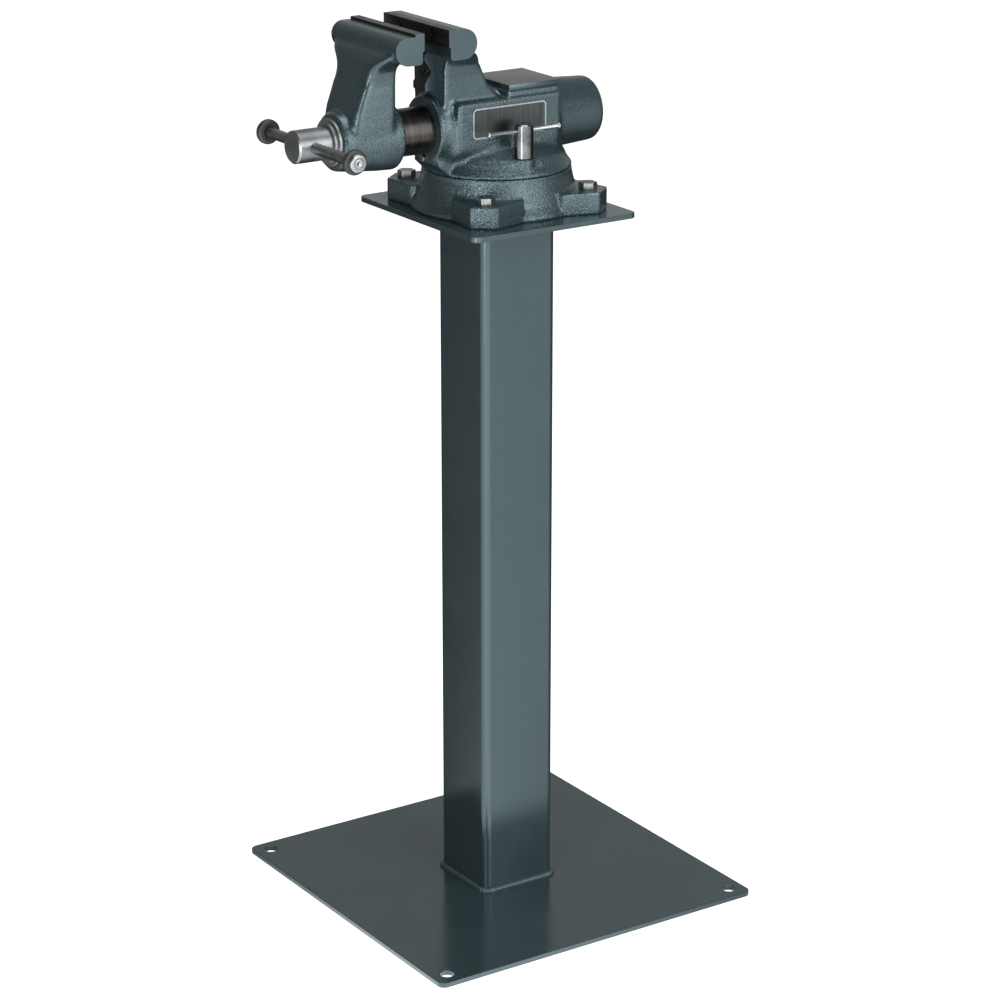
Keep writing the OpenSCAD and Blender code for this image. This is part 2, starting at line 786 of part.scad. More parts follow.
// The insert's two cap screws, sunk below its face
module insert_screws() {
    length = insert_t - screw_sink + screw_grip - screw_short;
    for (x = [-1, 1]) translate([x * screw_x, screw_sink, jaw_z - insert_h / 2]) rotate([-90, 0, 0]) {
        difference() {
            cylinder(h = screw_head_h, d = screw_head_d);
            translate([0, 0, -over]) hexagon(screw_d * 0.75, screw_head_h * 0.6 + over);
        }
        translate([0, 0, screw_head_h]) cylinder(h = length - screw_head_h, d = screw_d);
    }
}

module fixed_jaw_insert() {
    color(dark_steel) translate([0, -face_y, 0]) insert_body();
}

module fixed_jaw_screws() {
    color(dark_steel) translate([0, -face_y, 0]) insert_screws();
}

module fixed_pipe_jaw() {
    color(dark_steel) translate([0, -column_face_y + pipe_sink, 0]) pipe_jaw_body();
}

module fixed_pipe_jaw_screw() {
    color(dark_steel) translate([0, -column_face_y + pipe_sink, 0]) pipe_screw_body();
}

module spindle_nut() {
    color(bronze) difference() {
        axle(-nut_front, nut_rear, nut_d / 2);
        axle(-nut_front - over, nut_bore_end, thread_d / 2 + run_fit);
        axle(nut_bore_end + anchor_gap, nut_rear + over, anchor_d / 2 + seat_fit);
        axle(nut_rear - dowel_d * 2, nut_rear + over, dowel_d / 2 + seat_fit, dowel_up);
    }
}

module nut_anchor_screw() {
    rear = barrel_end - anchor_head_h;
    color(zinc) difference() {
        union() {
            axle(nut_bore_end + 2 * anchor_gap, rear, anchor_d / 2);
            axle(rear, barrel_end - anchor_sink, anchor_head_d / 2);
        }
        translate([0, barrel_end, axis_z]) rotate([90, 0, 0]) hexagon(anchor_d * 0.8, anchor_head_h * 0.6);
    }
}

module nut_dowel() {
    color(zinc) axle(nut_rear - dowel_d * 1.8, nut_rear + dowel_d * 0.8, dowel_d / 2, dowel_up);
}

module slide_key() {
    color(steel) box3([-key_w / 2, -body_front, axis_z - slide_d / 2 - key_out],
        [key_w / 2, -body_front + key_l, axis_z - slide_d / 2 + key_in]);
}

module slide_key_screw() {
    color(zinc) {
        axle(-body_front - key_head_h, -body_front, key_head_d / 2, key_screw_up);
        axle(-body_front, -body_front + key_screw_l, key_screw_d / 2, key_screw_up);
    }
}

// A T-headed stud that stands in the base's slot, its axis on x = y = 0
module stud_body() {
    head_top = seam_z - slot_lip - stud_gap;
    top = lock_z + lock_bore_h - stud_short;
    shank_low = head_top - stud_head_t / 2;
    translate([0, 0, head_top - stud_head_t]) intersection() {
        translate([-stud_head_l / 2, -stud_head_w / 2, 0]) cube([stud_head_l, stud_head_w, stud_head_t]);
        cylinder(h = stud_head_t, d = stud_head_l);
    }
    translate([0, 0, shank_low]) cylinder(h = top - shank_low, d = stud_d);
}

module right_lock_stud() {
    color(zinc) translate([lock_x, lock_y, 0]) rotate(atan2(lock_y, lock_x)) stud_body();
}

module left_lock_stud() {
    color(zinc) translate([-lock_x, lock_y, 0]) rotate(-atan2(lock_y, lock_x)) stud_body();
}

// A tall round lock nut with a cross hole near its top
module lock_nut_body() {
    translate([0, 0, lock_z]) difference() {
        rotate_extrude() polygon([[0, 0], [lock_d / 2 - edge_in, 0], [lock_d / 2, edge_in],
            [lock_d / 2, lock_h - 2 * edge_in], [lock_d / 2 - 2 * edge_in, lock_h], [0, lock_h]]);
        translate([0, 0, -over]) cylinder(h = lock_bore_h + over, d = stud_d + 2 * run_fit);
        translate([0, 0, lock_h - lock_bar_drop]) rotate([90, 0, 0])
            cylinder(h = lock_d + 2 * over, d = lock_bar_d + 2 * run_fit, center = true);
    }
}

module right_lock_nut() {
    color(bright_steel) translate([lock_x, lock_y, 0]) lock_nut_body();
}

module left_lock_nut() {
    color(bright_steel) translate([-lock_x, lock_y, 0]) lock_nut_body();
}

// The sliding cross bar of a lock nut, with upset ends
module lock_bar_body() {
    translate([0, 0, lock_z + lock_h - lock_bar_drop]) rotate([90, 0, 0]) {
        cylinder(h = lock_bar_l - upset_t, d = lock_bar_d, center = true);
        for (end = [-1, 1]) translate([0, 0, end * (lock_bar_l - upset_t) / 2])
            cylinder(h = upset_t, d = upset_d, center = true);
    }
}

module right_lock_bar() {
    color(bright_steel) translate([lock_x, lock_y, 0]) lock_bar_body();
}

module left_lock_bar() {
    color(bright_steel) translate([-lock_x, lock_y, 0]) lock_bar_body();
}

// The moving jaw's front edge: pairs of a height above the axis and a distance from the column's rear face
column_front = moving_boss_front - moving_round - moving_column_y;
moving_fronts = [[0, column_front * 0.93], [boss_r / 2, column_front * 0.93],
    [cap_low * 0.45, column_front * 0.85], [cap_low, column_front * 0.53]];

module moving_jaw_casting() {
    front = -moving_boss_front;
    rear = -moving_boss_rear;
    color(paint) difference() {
        union() {
            turned([[0, front], [moving_nose_r, front],
                for (a = [75:-15:0]) [moving_low_r, front] + moving_round * [cos(a) - 1, 1 - sin(a)],
                [boss_r, rear - moving_rear_bevel], [boss_r - moving_rear_bevel, rear], [0, rear]]);
            // column, its front bulging down to the boss
            back = -moving_column_y;
            hull() for (place = moving_fronts)
                slab(moving_column_w, back - place[1], back, place[0], moving_column_round);
            // its widening under the cap
            hull() {
                slab(gusset_w, back - column_front * 0.48, back, cap_low + gusset_in);
                slab(moving_column_w - gusset_in, back - column_front * 0.7, back, cap_low - gusset_drop);
            }
            translate([0, -moving_face_y, 0]) scale([1, -1, 1]) across(jaw_w) cap_outline(moving_cap_drop);
        }
        axle(rear - moving_seat_l, rear + over, slide_d / 2 + seat_fit);
        axle(front - over, rear, journal_d / 2 + run_fit);
        axle(front - over, thrust_place + thrust_washer_t, recess_r + run_fit);
        translate([0, -moving_face_y - insert_t, 0]) scale([1, -1, 1]) insert_screw_holes();
        translate([0, -moving_column_y - moving_pipe_sink, 0]) scale([1, -1, 1]) pipe_pocket();
        // cross pin from below, and the collar's set screw
        translate([0, rear - moving_seat_l / 2, axis_z - boss_r - over])
            cylinder(h = boss_r, d = pin_d + 2 * seat_fit);
        translate([0, front + collar_in / 2, axis_z - boss_r - over])
            cylinder(h = boss_r - recess_r + 2 * over, d = set_d + 2 * seat_fit);
    }
}

module moving_jaw_insert() {
    color(dark_steel) translate([0, -moving_face_y, 0]) scale([1, -1, 1]) insert_body();
}

module moving_jaw_screws() {
    color(dark_steel) translate([0, -moving_face_y, 0]) scale([1, -1, 1]) insert_screws();
}

module moving_pipe_jaw() {
    color(dark_steel) translate([0, -moving_column_y - moving_pipe_sink, 0]) scale([1, -1, 1])
        pipe_jaw_body();
}

module moving_pipe_jaw_screw() {
    color(dark_steel) translate([0, -moving_column_y - moving_pipe_sink, 0]) scale([1, -1, 1])
        pipe_screw_body();
}

module slide_bar() {
    low = axis_z - slide_d / 2;
    slot_x = key_w / 2 + 2 * run_fit;
    color(dark_steel) difference() {
        axle(slide_front, slide_rear, slide_d / 2);
        axle(slide_front - over, slide_rear + over, slide_bore_d / 2);
        box3([-slot_x, -body_front - close_travel - key_slot_over, low - over],
            [slot_x, slide_rear + over, low + key_in + key_gap]);
        translate([0, -moving_boss_rear - moving_seat_l / 2, low - over])
            cylinder(h = (slide_d - slide_bore_d) / 2 + 2 * over, d = pin_d + 2 * seat_fit);
    }
}

module slide_pin() {
    low = axis_z - boss_r + pin_sink;
    top = axis_z - slide_bore_d / 2 - pin_short;
    color(zinc) translate([0, -moving_boss_rear - moving_seat_l / 2, low])
        cylinder(h = top - low, d = pin_d);
}

// Threaded ring that keeps the spindle in the jaw: a flange, a nose and a thread
module spindle_collar() {
    front = -moving_boss_front;
    nose = front - 2 * collar_t;
    flange = front - collar_t;
    color(bright_steel) turned([[head_d / 2 + run_fit, nose], [collar_nose_r - edge_in, nose],
        [collar_nose_r, nose + edge_in], [collar_nose_r, flange], [collar_r - edge_in, flange],
        [collar_r, flange + edge_in], [collar_r, front], [recess_r, front], [recess_r, front + collar_in],
        [head_d / 2 + run_fit, front + collar_in]]);
}

module collar_set_screw() {
    color(dark_steel) translate([0, -moving_boss_front + collar_in / 2, axis_z - moving_nose_r])
        cylinder(h = moving_nose_r - recess_r - seat_fit, d = set_d);
}

module spindle() {
    front = -moving_boss_front;
    collar_rear = front + collar_in + face_gap;
    head_front = front - 2 * collar_t - head_l;
    journal_end = front + moving_boss_l - moving_seat_l;
    color(bright_steel) difference() {
        union() {
            turned([[0, head_front], [head_d / 2 - head_round, head_front],
                [head_d / 2, head_front + head_round], [head_d / 2, collar_rear], [thrust_r, collar_rear],
                [thrust_r, collar_rear + thrust_t], [0, collar_rear + thrust_t]]);
            axle(collar_rear, journal_end + journal_over, journal_d / 2);
            axle(journal_end, spindle_rear, thread_d / 2);
        }
        translate([0, head_front + handle_inset, axis_z]) rotate([0, 90, 0])
            cylinder(h = head_d + 2 * over, d = handle_d + 2 * run_fit, center = true);
        // groove of the circlip
        difference() {
            axle(circlip_y - seat_fit, circlip_y + circlip_t + seat_fit, journal_d);
            axle(circlip_y - over, circlip_y + circlip_t + over, journal_d / 2 - circlip_in);
        }
    }
}

module thrust_washer() {
    rear = thrust_place + thrust_washer_t;
    color(bronze) difference() {
        axle(thrust_place, rear, recess_r - seat_fit);
        axle(thrust_place - over, rear + over, journal_d / 2 + run_fit);
    }
}

module spindle_circlip() {
    color(dark_steel) difference() {
        axle(circlip_y, circlip_y + circlip_t, circlip_r);
        axle(circlip_y - over, circlip_y + circlip_t + over, journal_d / 2 - circlip_in + seat_fit);
    }
}

handle_y = -moving_boss_front - 2 * collar_t - head_l + handle_inset;

module along_handle(from_x, to_x, d) {
    translate([from_x, handle_y, axis_z]) rotate([0, 90, 0]) cylinder(h = to_x - from_x, d = d);
}

module handle_bar() {
    half = handle_l / 2 - cap_floor;
    color(bright_steel) along_handle(handle_shift - half, handle_shift + half, handle_d);
}

// A turned shape on each end of the handle, its outer face so far in from the handle's ends
module at_handle_ends(inset) {
    for (side = [-1, 1]) translate([handle_shift + side * (handle_l / 2 - inset), handle_y, axis_z])
        rotate([0, -90 * side, 0]) rotate_extrude() children();
}

// Round end caps, sunk on the handle's ends and dimpled
module handle_end_caps() {
    bore = handle_d / 2 + seat_fit;
    color(zinc) at_handle_ends(0) polygon([[0, cap_dimple_in], [cap_dimple_d / 2, 0],
        [cap_d / 2 - cap_bevel, 0], [cap_d / 2, cap_bevel], [cap_d / 2, cap_t], [bore, cap_t],
        [bore, cap_floor], [0, cap_floor]]);
}

// Rubber rings behind the caps
module handle_rings() {
    bore = handle_d / 2 + seat_fit;
    color(rubber) at_handle_ends(cap_t) polygon([[bore, 0], [ring_d / 2 - ring_bevel, 0],
        [ring_d / 2, ring_bevel], [ring_d / 2, ring_t - ring_bevel], [ring_d / 2 - ring_bevel, ring_t],
        [bore, ring_t]]);
}

floor_plate();
post_tube();
mounting_plate();
lower_weld();
upper_weld();
swivel_base();
base_bolts();
base_washers();
base_nuts();
body_casting();
right_name_plate();
left_name_plate();
name_plate_pins();
fixed_jaw_insert();
fixed_jaw_screws();
fixed_pipe_jaw();
fixed_pipe_jaw_screw();
spindle_nut();
nut_anchor_screw();
nut_dowel();
slide_key();
slide_key_screw();
right_lock_stud();
left_lock_stud();
right_lock_nut();
left_lock_nut();
right_lock_bar();
left_lock_bar();
moving_jaw_casting();
moving_jaw_insert();
moving_jaw_screws();
moving_pipe_jaw();
moving_pipe_jaw_screw();
slide_bar();
slide_pin();
spindle_collar();
collar_set_screw();
spindle();
thrust_washer();
spindle_circlip();
handle_bar();
handle_end_caps();
handle_rings();
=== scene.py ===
# Looks of the vise pedestal stand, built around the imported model.
import bpy
import bmesh
import json
import math
from mathutils import Matrix, Vector

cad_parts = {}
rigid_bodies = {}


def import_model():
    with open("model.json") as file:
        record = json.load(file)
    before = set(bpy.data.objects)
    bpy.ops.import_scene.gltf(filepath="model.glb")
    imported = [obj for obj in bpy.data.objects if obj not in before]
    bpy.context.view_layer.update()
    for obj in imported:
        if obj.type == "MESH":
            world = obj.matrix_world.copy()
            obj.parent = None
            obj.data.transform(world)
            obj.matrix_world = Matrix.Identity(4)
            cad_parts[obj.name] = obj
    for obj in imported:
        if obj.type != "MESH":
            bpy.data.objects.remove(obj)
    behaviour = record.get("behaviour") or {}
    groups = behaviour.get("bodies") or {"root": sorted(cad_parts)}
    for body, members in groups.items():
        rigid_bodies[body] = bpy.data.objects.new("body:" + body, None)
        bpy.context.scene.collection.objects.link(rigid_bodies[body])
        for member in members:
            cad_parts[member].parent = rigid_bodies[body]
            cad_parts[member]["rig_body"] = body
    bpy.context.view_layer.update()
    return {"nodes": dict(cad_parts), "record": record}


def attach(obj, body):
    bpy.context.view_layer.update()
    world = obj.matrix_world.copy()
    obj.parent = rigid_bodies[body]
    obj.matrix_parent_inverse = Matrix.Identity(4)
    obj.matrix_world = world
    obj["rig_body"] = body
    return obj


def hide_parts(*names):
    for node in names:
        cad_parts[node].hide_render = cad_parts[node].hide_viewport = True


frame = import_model()
nodeSlot = {row["node"]: row["material_slot"] for row in frame["record"]["subparts"]}
nodeBody = {node: obj["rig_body"] for node, obj in frame["nodes"].items()}

# shared sizes, in millimetres
mm = 0.001
sheet = 6.35  # thickness of the floor plate and the mounting plate
plateTop = 863.6  # top of the mounting plate
seam = plateTop + 48.1  # where the vise body turns on its base
axisZ = plateTop + 100.7  # the spindle's axis
jawEnd = 69.85  # half the width of the jaws
insertUp = 115.8  # middle of the jaw inserts above the axis
screwX = 34.925  # their screws, each side of the middle
fixedFace, movingFace = -110, -142  # the two gripping faces, along the axis
lockX, lockY = 72, -10  # the swivel locks


def link(tree, source, target):
    tree.links.new(source, target)


def addNode(tree, kind, **values):
    node = tree.nodes.new(kind)
    for name, value in values.items():
        setattr(node, name, value)
    return node


def feed(tree, value, socket):
    if isinstance(value, (int, float)):
        socket.default_value = value
    elif isinstance(value, tuple):  # a colour
        socket.default_value = (*value, 1)
    else:
        link(tree, value, socket)


def mathNode(tree, operation, *values):
    node = addNode(tree, "ShaderNodeMath", operation=operation)
    for value, socket in zip(values, node.inputs):
        feed(tree, value, socket)
    return node.outputs[0]


def mixColor(tree, factor, first, second):
    node = addNode(tree, "ShaderNodeMix", data_type="RGBA")
    for value, index in ((factor, 0), (first, 6), (second, 7)):
        feed(tree, value, node.inputs[index])
    return node.outputs[2]


def mapRange(tree, value, fromLow, fromHigh, toLow, toHigh):
    node = addNode(tree, "ShaderNodeMapRange")
    for number, socket in zip((value, fromLow, fromHigh, toLow, toHigh), node.inputs):
        feed(tree, number, socket)
    return node.outputs[0]


def noiseOf(tree, vector, scale, detail=2.0, rough=0.5, output="Fac"):
    node = addNode(tree, "ShaderNodeTexNoise")
    for value, name in ((vector, "Vector"), (scale, "Scale"), (detail, "Detail"), (rough, "Roughness")):
        feed(tree, value, node.inputs[name])
    return node.outputs[output]


def scaledBy(tree, vector, factor):
    node = addNode(tree, "ShaderNodeVectorMath", operation="SCALE")
    link(tree, vector, node.inputs[0])
    feed(tree, factor, node.inputs["Scale"])
    return node.outputs[0]


def facing(tree, vector, direction):
    node = addNode(tree, "ShaderNodeVectorMath", operation="DOT_PRODUCT")
    link(tree, vector, node.inputs[0])
    node.inputs[1].default_value = direction
    return node.outputs["Value"]


def newGroup(name, *outputs):
    group = bpy.data.node_groups.new(name, "ShaderNodeTree")
    for label, kind in (("Vector", "NodeSocketVector"), ("Size", "NodeSocketFloat")):
        group.interface.new_socket(label, in_out="INPUT", socket_type=kind)
    for label in outputs:
        group.interface.new_socket(label, in_out="OUTPUT", socket_type="NodeSocketFloat")
    return group, group.nodes.new("NodeGroupInput"), group.nodes.new("NodeGroupOutput")


def useGroup(tree, group, vector, size):
    node = addNode(tree, "ShaderNodeGroup", node_tree=group)
    link(tree, vector, node.inputs["Vector"])
    node.inputs["Size"].default_value = size
    return node


def buildPebbleGroup():
    pebble = dict(smooth=0.55, wobble=260.0, shift=0.0022, patch=38.0, thin=0.65, fine=900.0, fineShare=0.18,
                  calmUp=0.18, calmBack=0.2)
    group, given, result = newGroup("pebbledPaint", "Height", "Tone")
    vector = given.outputs["Vector"]
    parts = addNode(group, "ShaderNodeSeparateXYZ")
    link(group, vector, parts.inputs[0])
    fadeUp = mapRange(group, parts.outputs["Z"], 0.96, 1.005, 1.0, pebble["calmUp"])  # smoother high up
    fadeBack = mapRange(group, parts.outputs["Y"], 0.055, 0.075, 1.0, pebble["calmBack"])  # and on the barrel
    moved = addNode(group, "ShaderNodeVectorMath", operation="ADD")
    link(group, vector, moved.inputs[0])
    wobble = noiseOf(group, vector, pebble["wobble"], output="Color")
    link(group, scaledBy(group, wobble, pebble["shift"]), moved.inputs[1])
    cells = addNode(group, "ShaderNodeTexVoronoi", feature="SMOOTH_F1")
    link(group, moved.outputs[0], cells.inputs["Vector"])
    link(group, given.outputs["Size"], cells.inputs["Scale"])
    cells.inputs["Smoothness"].default_value = pebble["smooth"]
    dome = mathNode(group, "SUBTRACT", 1.0, cells.outputs["Distance"])
    patch = mapRange(group, noiseOf(group, vector, pebble["patch"]), 0.35, 0.7, pebble["thin"], 1.0)
    height = mathNode(group, "MULTIPLY", mathNode(group, "MULTIPLY", dome, patch),
                      mathNode(group, "MULTIPLY", fadeUp, fadeBack))
    fine = mathNode(group, "MULTIPLY", noiseOf(group, vector, pebble["fine"]), pebble["fineShare"])
    link(group, mathNode(group, "ADD", height, fine), result.inputs["Height"])
    # Tone carries the pebble domes, which the cast paint turns into painted shade in the hollows and painted
    # highlights on the tops
    link(group, dome, result.inputs["Tone"])
    return group


def buildGrainGroup():
    grain = dict(fine=1.0, wide=0.13, fineShare=0.6, wideShare=0.4)
    group, given, result = newGroup("drawnGrain", "Height", "Tone")
    scaled = scaledBy(group, given.outputs["Vector"], given.outputs["Size"])
    fine = noiseOf(group, scaled, grain["fine"], 4.0, 0.7)
    wide = noiseOf(group, scaled, grain["wide"])
    tone = mathNode(group, "ADD", mathNode(group, "MULTIPLY", fine, grain["fineShare"]),
                    mathNode(group, "MULTIPLY", wide, grain["wideShare"]))
    link(group, fine, result.inputs["Height"])
    link(group, tone, result.inputs["Tone"])
    return group


def buildSmudgeGroup():
    group, given, result = newGroup("handledFilm", "Mask")
    broad = noiseOf(group, given.outputs["Vector"], given.outputs["Size"], 3.0, 0.6)
    link(group, mapRange(group, broad, 0.35, 0.65, 0.0, 1.0), result.inputs["Mask"])
    return group


pebbleGroup = buildPebbleGroup()
grainGroup = buildGrainGroup()
smudgeGroup = buildSmudgeGroup()


def startMaterial(name, metallic=0.0, specular=0.5, tint=(1, 1, 1)):
    material = bpy.data.materials.new(name)
    material.use_nodes = True
    tree = material.node_tree
    tree.nodes.clear()
    shader = addNode(tree, "ShaderNodeBsdfPrincipled")
    shader.inputs["Metallic"].default_value = metallic
    shader.inputs["Specular IOR Level"].default_value = specular
    shader.inputs["Specular Tint"].default_value = (*tint, 1)
    out = addNode(tree, "ShaderNodeOutputMaterial")
    link(tree, shader.outputs[0], out.inputs[0])
    coords = addNode(tree, "ShaderNodeTexCoord").outputs["Object"]
    return material, tree, shader, coords


def filmOf(tree, coords, size):
    return useGroup(tree, smudgeGroup, coords, size).outputs["Mask"]


def colorAndGloss(tree, shader, tone, dark, bright, wear, smooth, rough):
    link(tree, mixColor(tree, tone, dark, bright), shader.inputs["Base Color"])
    link(tree, mapRange(tree, wear, 0.0, 1.0, smooth, rough), shader.inputs["Roughness"])


def addBump(tree, shader, height, depth):
    bump = addNode(tree, "ShaderNodeBump")
    bump.inputs["Strength"].default_value = 1.0
    bump.inputs["Distance"].default_value = depth
    link(tree, height, bump.inputs["Height"])
    link(tree, bump.outputs[0], shader.inputs["Normal"])


enamel = dict(specular=0.8, tint=(0.7, 0.93, 1.0))  # the cool gloss of all the paint


def castPaint():
    # the pebble colour is painted light: the hollows between pebbles are painted darker as shade, and the
    # pebble tops (crest) lighter as painted highlights
    look = dict(paintedHollowShade=(0.011, 0.019, 0.021), crest=(0.022, 0.037, 0.041), grain=640.0, film=22.0, smooth=0.19,
                rough=0.29, depth=0.0006)
    material, tree, shader, coords = startMaterial("castingEnamel", **enamel)
    pebbles = useGroup(tree, pebbleGroup, coords, look["grain"])
    tone = mapRange(tree, pebbles.outputs["Tone"], 0.35, 0.85, 0.0, 1.0)
    film = filmOf(tree, coords, look["film"])
    colorAndGloss(tree, shader, tone, look["paintedHollowShade"], look["crest"], film, look["smooth"], look["rough"])
    addBump(tree, shader, pebbles.outputs["Height"], look["depth"])
    return material


def smoothPaint(name, crest, depth):
    look = dict(peel=420.0, film=9.0, shade=0.86, smooth=0.14, rough=0.22)
    material, tree, shader, coords = startMaterial(name, **enamel)
    film = filmOf(tree, coords, look["film"])
    darker = tuple(c * look["shade"] for c in crest)
    colorAndGloss(tree, shader, film, darker, crest, film, look["smooth"], look["rough"])
    addBump(tree, shader, noiseOf(tree, coords, look["peel"]), depth)
    return material


def weldPaint():
    look = dict(color=(0.02, 0.033, 0.037), ripple=520.0, smooth=0.22, rough=0.42, depth=0.0004)
    material, tree, shader, coords = startMaterial("weldEnamel", **enamel)
    shader.inputs["Base Color"].default_value = (*look["color"], 1)
    ripple = noiseOf(tree, coords, look["ripple"], 3.0)
    link(tree, mapRange(tree, ripple, 0.3, 0.7, look["smooth"], look["rough"]), shader.inputs["Roughness"])
    addBump(tree, shader, ripple, look["depth"])
    return material


def grainSteel(name, dark, bright, scale, smooth, rough):
    look = dict(film=45.0, depth=0.00003)
    material, tree, shader, coords = startMaterial(name, metallic=1.0)
    drawn = addNode(tree, "ShaderNodeMapping")
    drawn.inputs["Scale"].default_value = scale
    link(tree, coords, drawn.inputs["Vector"])
    grain = useGroup(tree, grainGroup, drawn.outputs[0], 1.0)
    tone = mapRange(tree, grain.outputs["Tone"], 0.3, 0.7, 0.0, 1.0)
    wear = mathNode(tree, "MULTIPLY_ADD", filmOf(tree, coords, look["film"]), 0.5,
                    mathNode(tree, "MULTIPLY", tone, 0.5))
    colorAndGloss(tree, shader, tone, dark, bright, wear, smooth, rough)
    addBump(tree, shader, grain.outputs["Height"], look["depth"])
    return material


def chromeSkin():
    look = dict(clean=(0.15, 0.16, 0.161), dullAndReflectionShade=(0.07, 0.075, 0.077), film=60.0, smooth=0.05, rough=0.16)
    material, tree, shader, coords = startMaterial("lockChrome", metallic=1.0)
    film = filmOf(tree, coords, look["film"])
    colorAndGloss(tree, shader, film, look["clean"], look["dullAndReflectionShade"], film, look["smooth"], look["rough"])
    return material


def zincSkin():
    look = dict(dark=(0.15, 0.16, 0.158), bright=(0.3, 0.312, 0.308), mottle=320.0, smooth=0.22, rough=0.38,
                depth=0.00004)
    material, tree, shader, coords = startMaterial("zincPlate", metallic=1.0)
    mottle = noiseOf(tree, coords, look["mottle"], 3.0, 0.6)
    tone = mapRange(tree, mottle, 0.35, 0.65, 0.0, 1.0)
    colorAndGloss(tree, shader, tone, look["dark"], look["bright"], tone, look["smooth"], look["rough"])
    addBump(tree, shader, mottle, look["depth"])
    return material


def rubberSkin():
    look = dict(dark=(0.011, 0.011, 0.012), bright=(0.02, 0.02, 0.021), speck=1500.0, film=90.0, smooth=0.42,
                rough=0.62, depth=0.00005)
    material, tree, shader, coords = startMaterial("ringRubber")
    film = filmOf(tree, coords, look["film"])
    colorAndGloss(tree, shader, film, look["dark"], look["bright"], film, look["smooth"], look["rough"])
    addBump(tree, shader, noiseOf(tree, coords, look["speck"]), look["depth"])
    return material


paints = {
    "cast": castPaint(),
    "stand": smoothPaint("standEnamel", (0.021, 0.035, 0.038), 0.00005),
    "capEnd": smoothPaint("faceEnamel", (0.024, 0.039, 0.043), 0.00004),
    "weld": weldPaint(),
    "chrome": chromeSkin(),
    "zinc": zincSkin(),
    "rubber": rubberSkin(),
}
steels = {  # dark, bright, grain along x, y and z, smoothest, roughest
    "insertSteel": ((0.034, 0.033, 0.031), (0.08, 0.077, 0.073), (60, 900, 900), 0.3, 0.46),
    "anvilSteel": ((0.17, 0.17, 0.166), (0.25, 0.25, 0.246), (60, 900, 60), 0.38, 0.52),
    "slideSteel": ((0.03, 0.028, 0.026), (0.075, 0.072, 0.068), (12, 1500, 12), 0.2, 0.38),
    "turnedSteel": ((0.16, 0.17, 0.173), (0.26, 0.272, 0.276), (12, 1500, 12), 0.32, 0.46),
    "rodSteel": ((0.17, 0.18, 0.182), (0.3, 0.31, 0.312), (700, 30, 30), 0.22, 0.36),
    "brushedPlate": ((0.03, 0.034, 0.035), (0.075, 0.08, 0.082), (30, 1400, 30), 0.3, 0.45),
    "rimMetal": ((0.22, 0.24, 0.242), (0.36, 0.38, 0.385), (300, 300, 300), 0.24, 0.36),
    "nutBronze": ((0.42, 0.28, 0.13), (0.55, 0.38, 0.2), (12, 1200, 12), 0.3, 0.42),
    "capSteel": ((0.18, 0.192, 0.195), (0.3, 0.315, 0.32), (300, 300, 300), 0.26, 0.4),
}
for name, values in steels.items():
    paints[name] = grainSteel(name, *values)
slotPaint = {
    "stand_enamel": "stand", "casting_enamel": "cast", "zinc_hardware": "zinc", "brushed_plate": "brushedPlate",
    "blackened_steel": "insertSteel", "slide_steel": "slideSteel", "turned_steel": "turnedSteel",
    "lock_chrome": "chrome", "bearing_bronze": "nutBronze", "ring_rubber": "rubber",
}
for node, obj in frame["nodes"].items():
    obj.data.materials.clear()
    obj.data.materials.append(paints[slotPaint[nodeSlot[node]]])
print("materials ready")


def newObject(name, bm, scale=mm):
    bmesh.ops.scale(bm, vec=(scale, scale, scale), verts=bm.verts)
    mesh = bpy.data.meshes.new(name)
    bm.to_mesh(mesh)
    bm.free()
    obj = bpy.data.objects.new(name, mesh)
    bpy.context.scene.collection.objects.link(obj)
    return obj


def turnTo(bm, axis):
    if axis == "Y":
        bmesh.ops.rotate(bm, matrix=Matrix.Rotation(-math.pi / 2, 3, "X"), verts=bm.verts)
    if axis == "X":
        bmesh.ops.rotate(bm, matrix=Matrix.Rotation(math.pi / 2, 3, "Y"), verts=bm.verts)


def spun(points, axis="Z", centre=(0, 0, 0), steps=96):
    bm = bmesh.new()
    verts = [bm.verts.new((r, 0, t)) for r, t in points]
    for first, second in zip(verts, verts[1:]):
        bm.edges.new((first, second))
    bmesh.ops.spin(bm, geom=bm.verts[:] + bm.edges[:], cent=(0, 0, 0), axis=(0, 0, 1),
                   angle=2 * math.pi, steps=steps, use_merge=True)
    bmesh.ops.remove_doubles(bm, verts=bm.verts, dist=0.001)
    turnTo(bm, axis)
    bmesh.ops.translate(bm, vec=centre, verts=bm.verts)
    bmesh.ops.recalc_face_normals(bm, faces=bm.faces)
    return bm


def drum(radius, low, high, axis="Z", centre=(0, 0, 0), steps=96):
    return spun([(0, low), (radius, low), (radius, high), (0, high)], axis, centre, steps)


def prism(corners, vector, segments=6):  # a fourth number in a corner is its rounding
    bm = bmesh.new()
    verts = [bm.verts.new(corner[:3]) for corner in corners]
    bm.faces.new(verts)
    for vert, corner in zip(verts, corners):
        if len(corner) > 3:
            bmesh.ops.bevel(bm, geom=[vert], offset=corner[3], affect="VERTICES", segments=segments,
                            profile=0.5, material=-1)
    grown = bmesh.ops.extrude_face_region(bm, geom=bm.faces[:])
    moved = [v for v in grown["geom"] if isinstance(v, bmesh.types.BMVert)]
    bmesh.ops.translate(bm, vec=vector, verts=moved)
    bmesh.ops.recalc_face_normals(bm, faces=bm.faces)
    return bm


def boxOf(low, high):
    bm = bmesh.new()
    bmesh.ops.create_cube(bm, size=1)
    low, high = Vector(low), Vector(high)
    bmesh.ops.scale(bm, vec=high - low, verts=bm.verts)
    bmesh.ops.translate(bm, vec=(low + high) / 2, verts=bm.verts)
    return bm


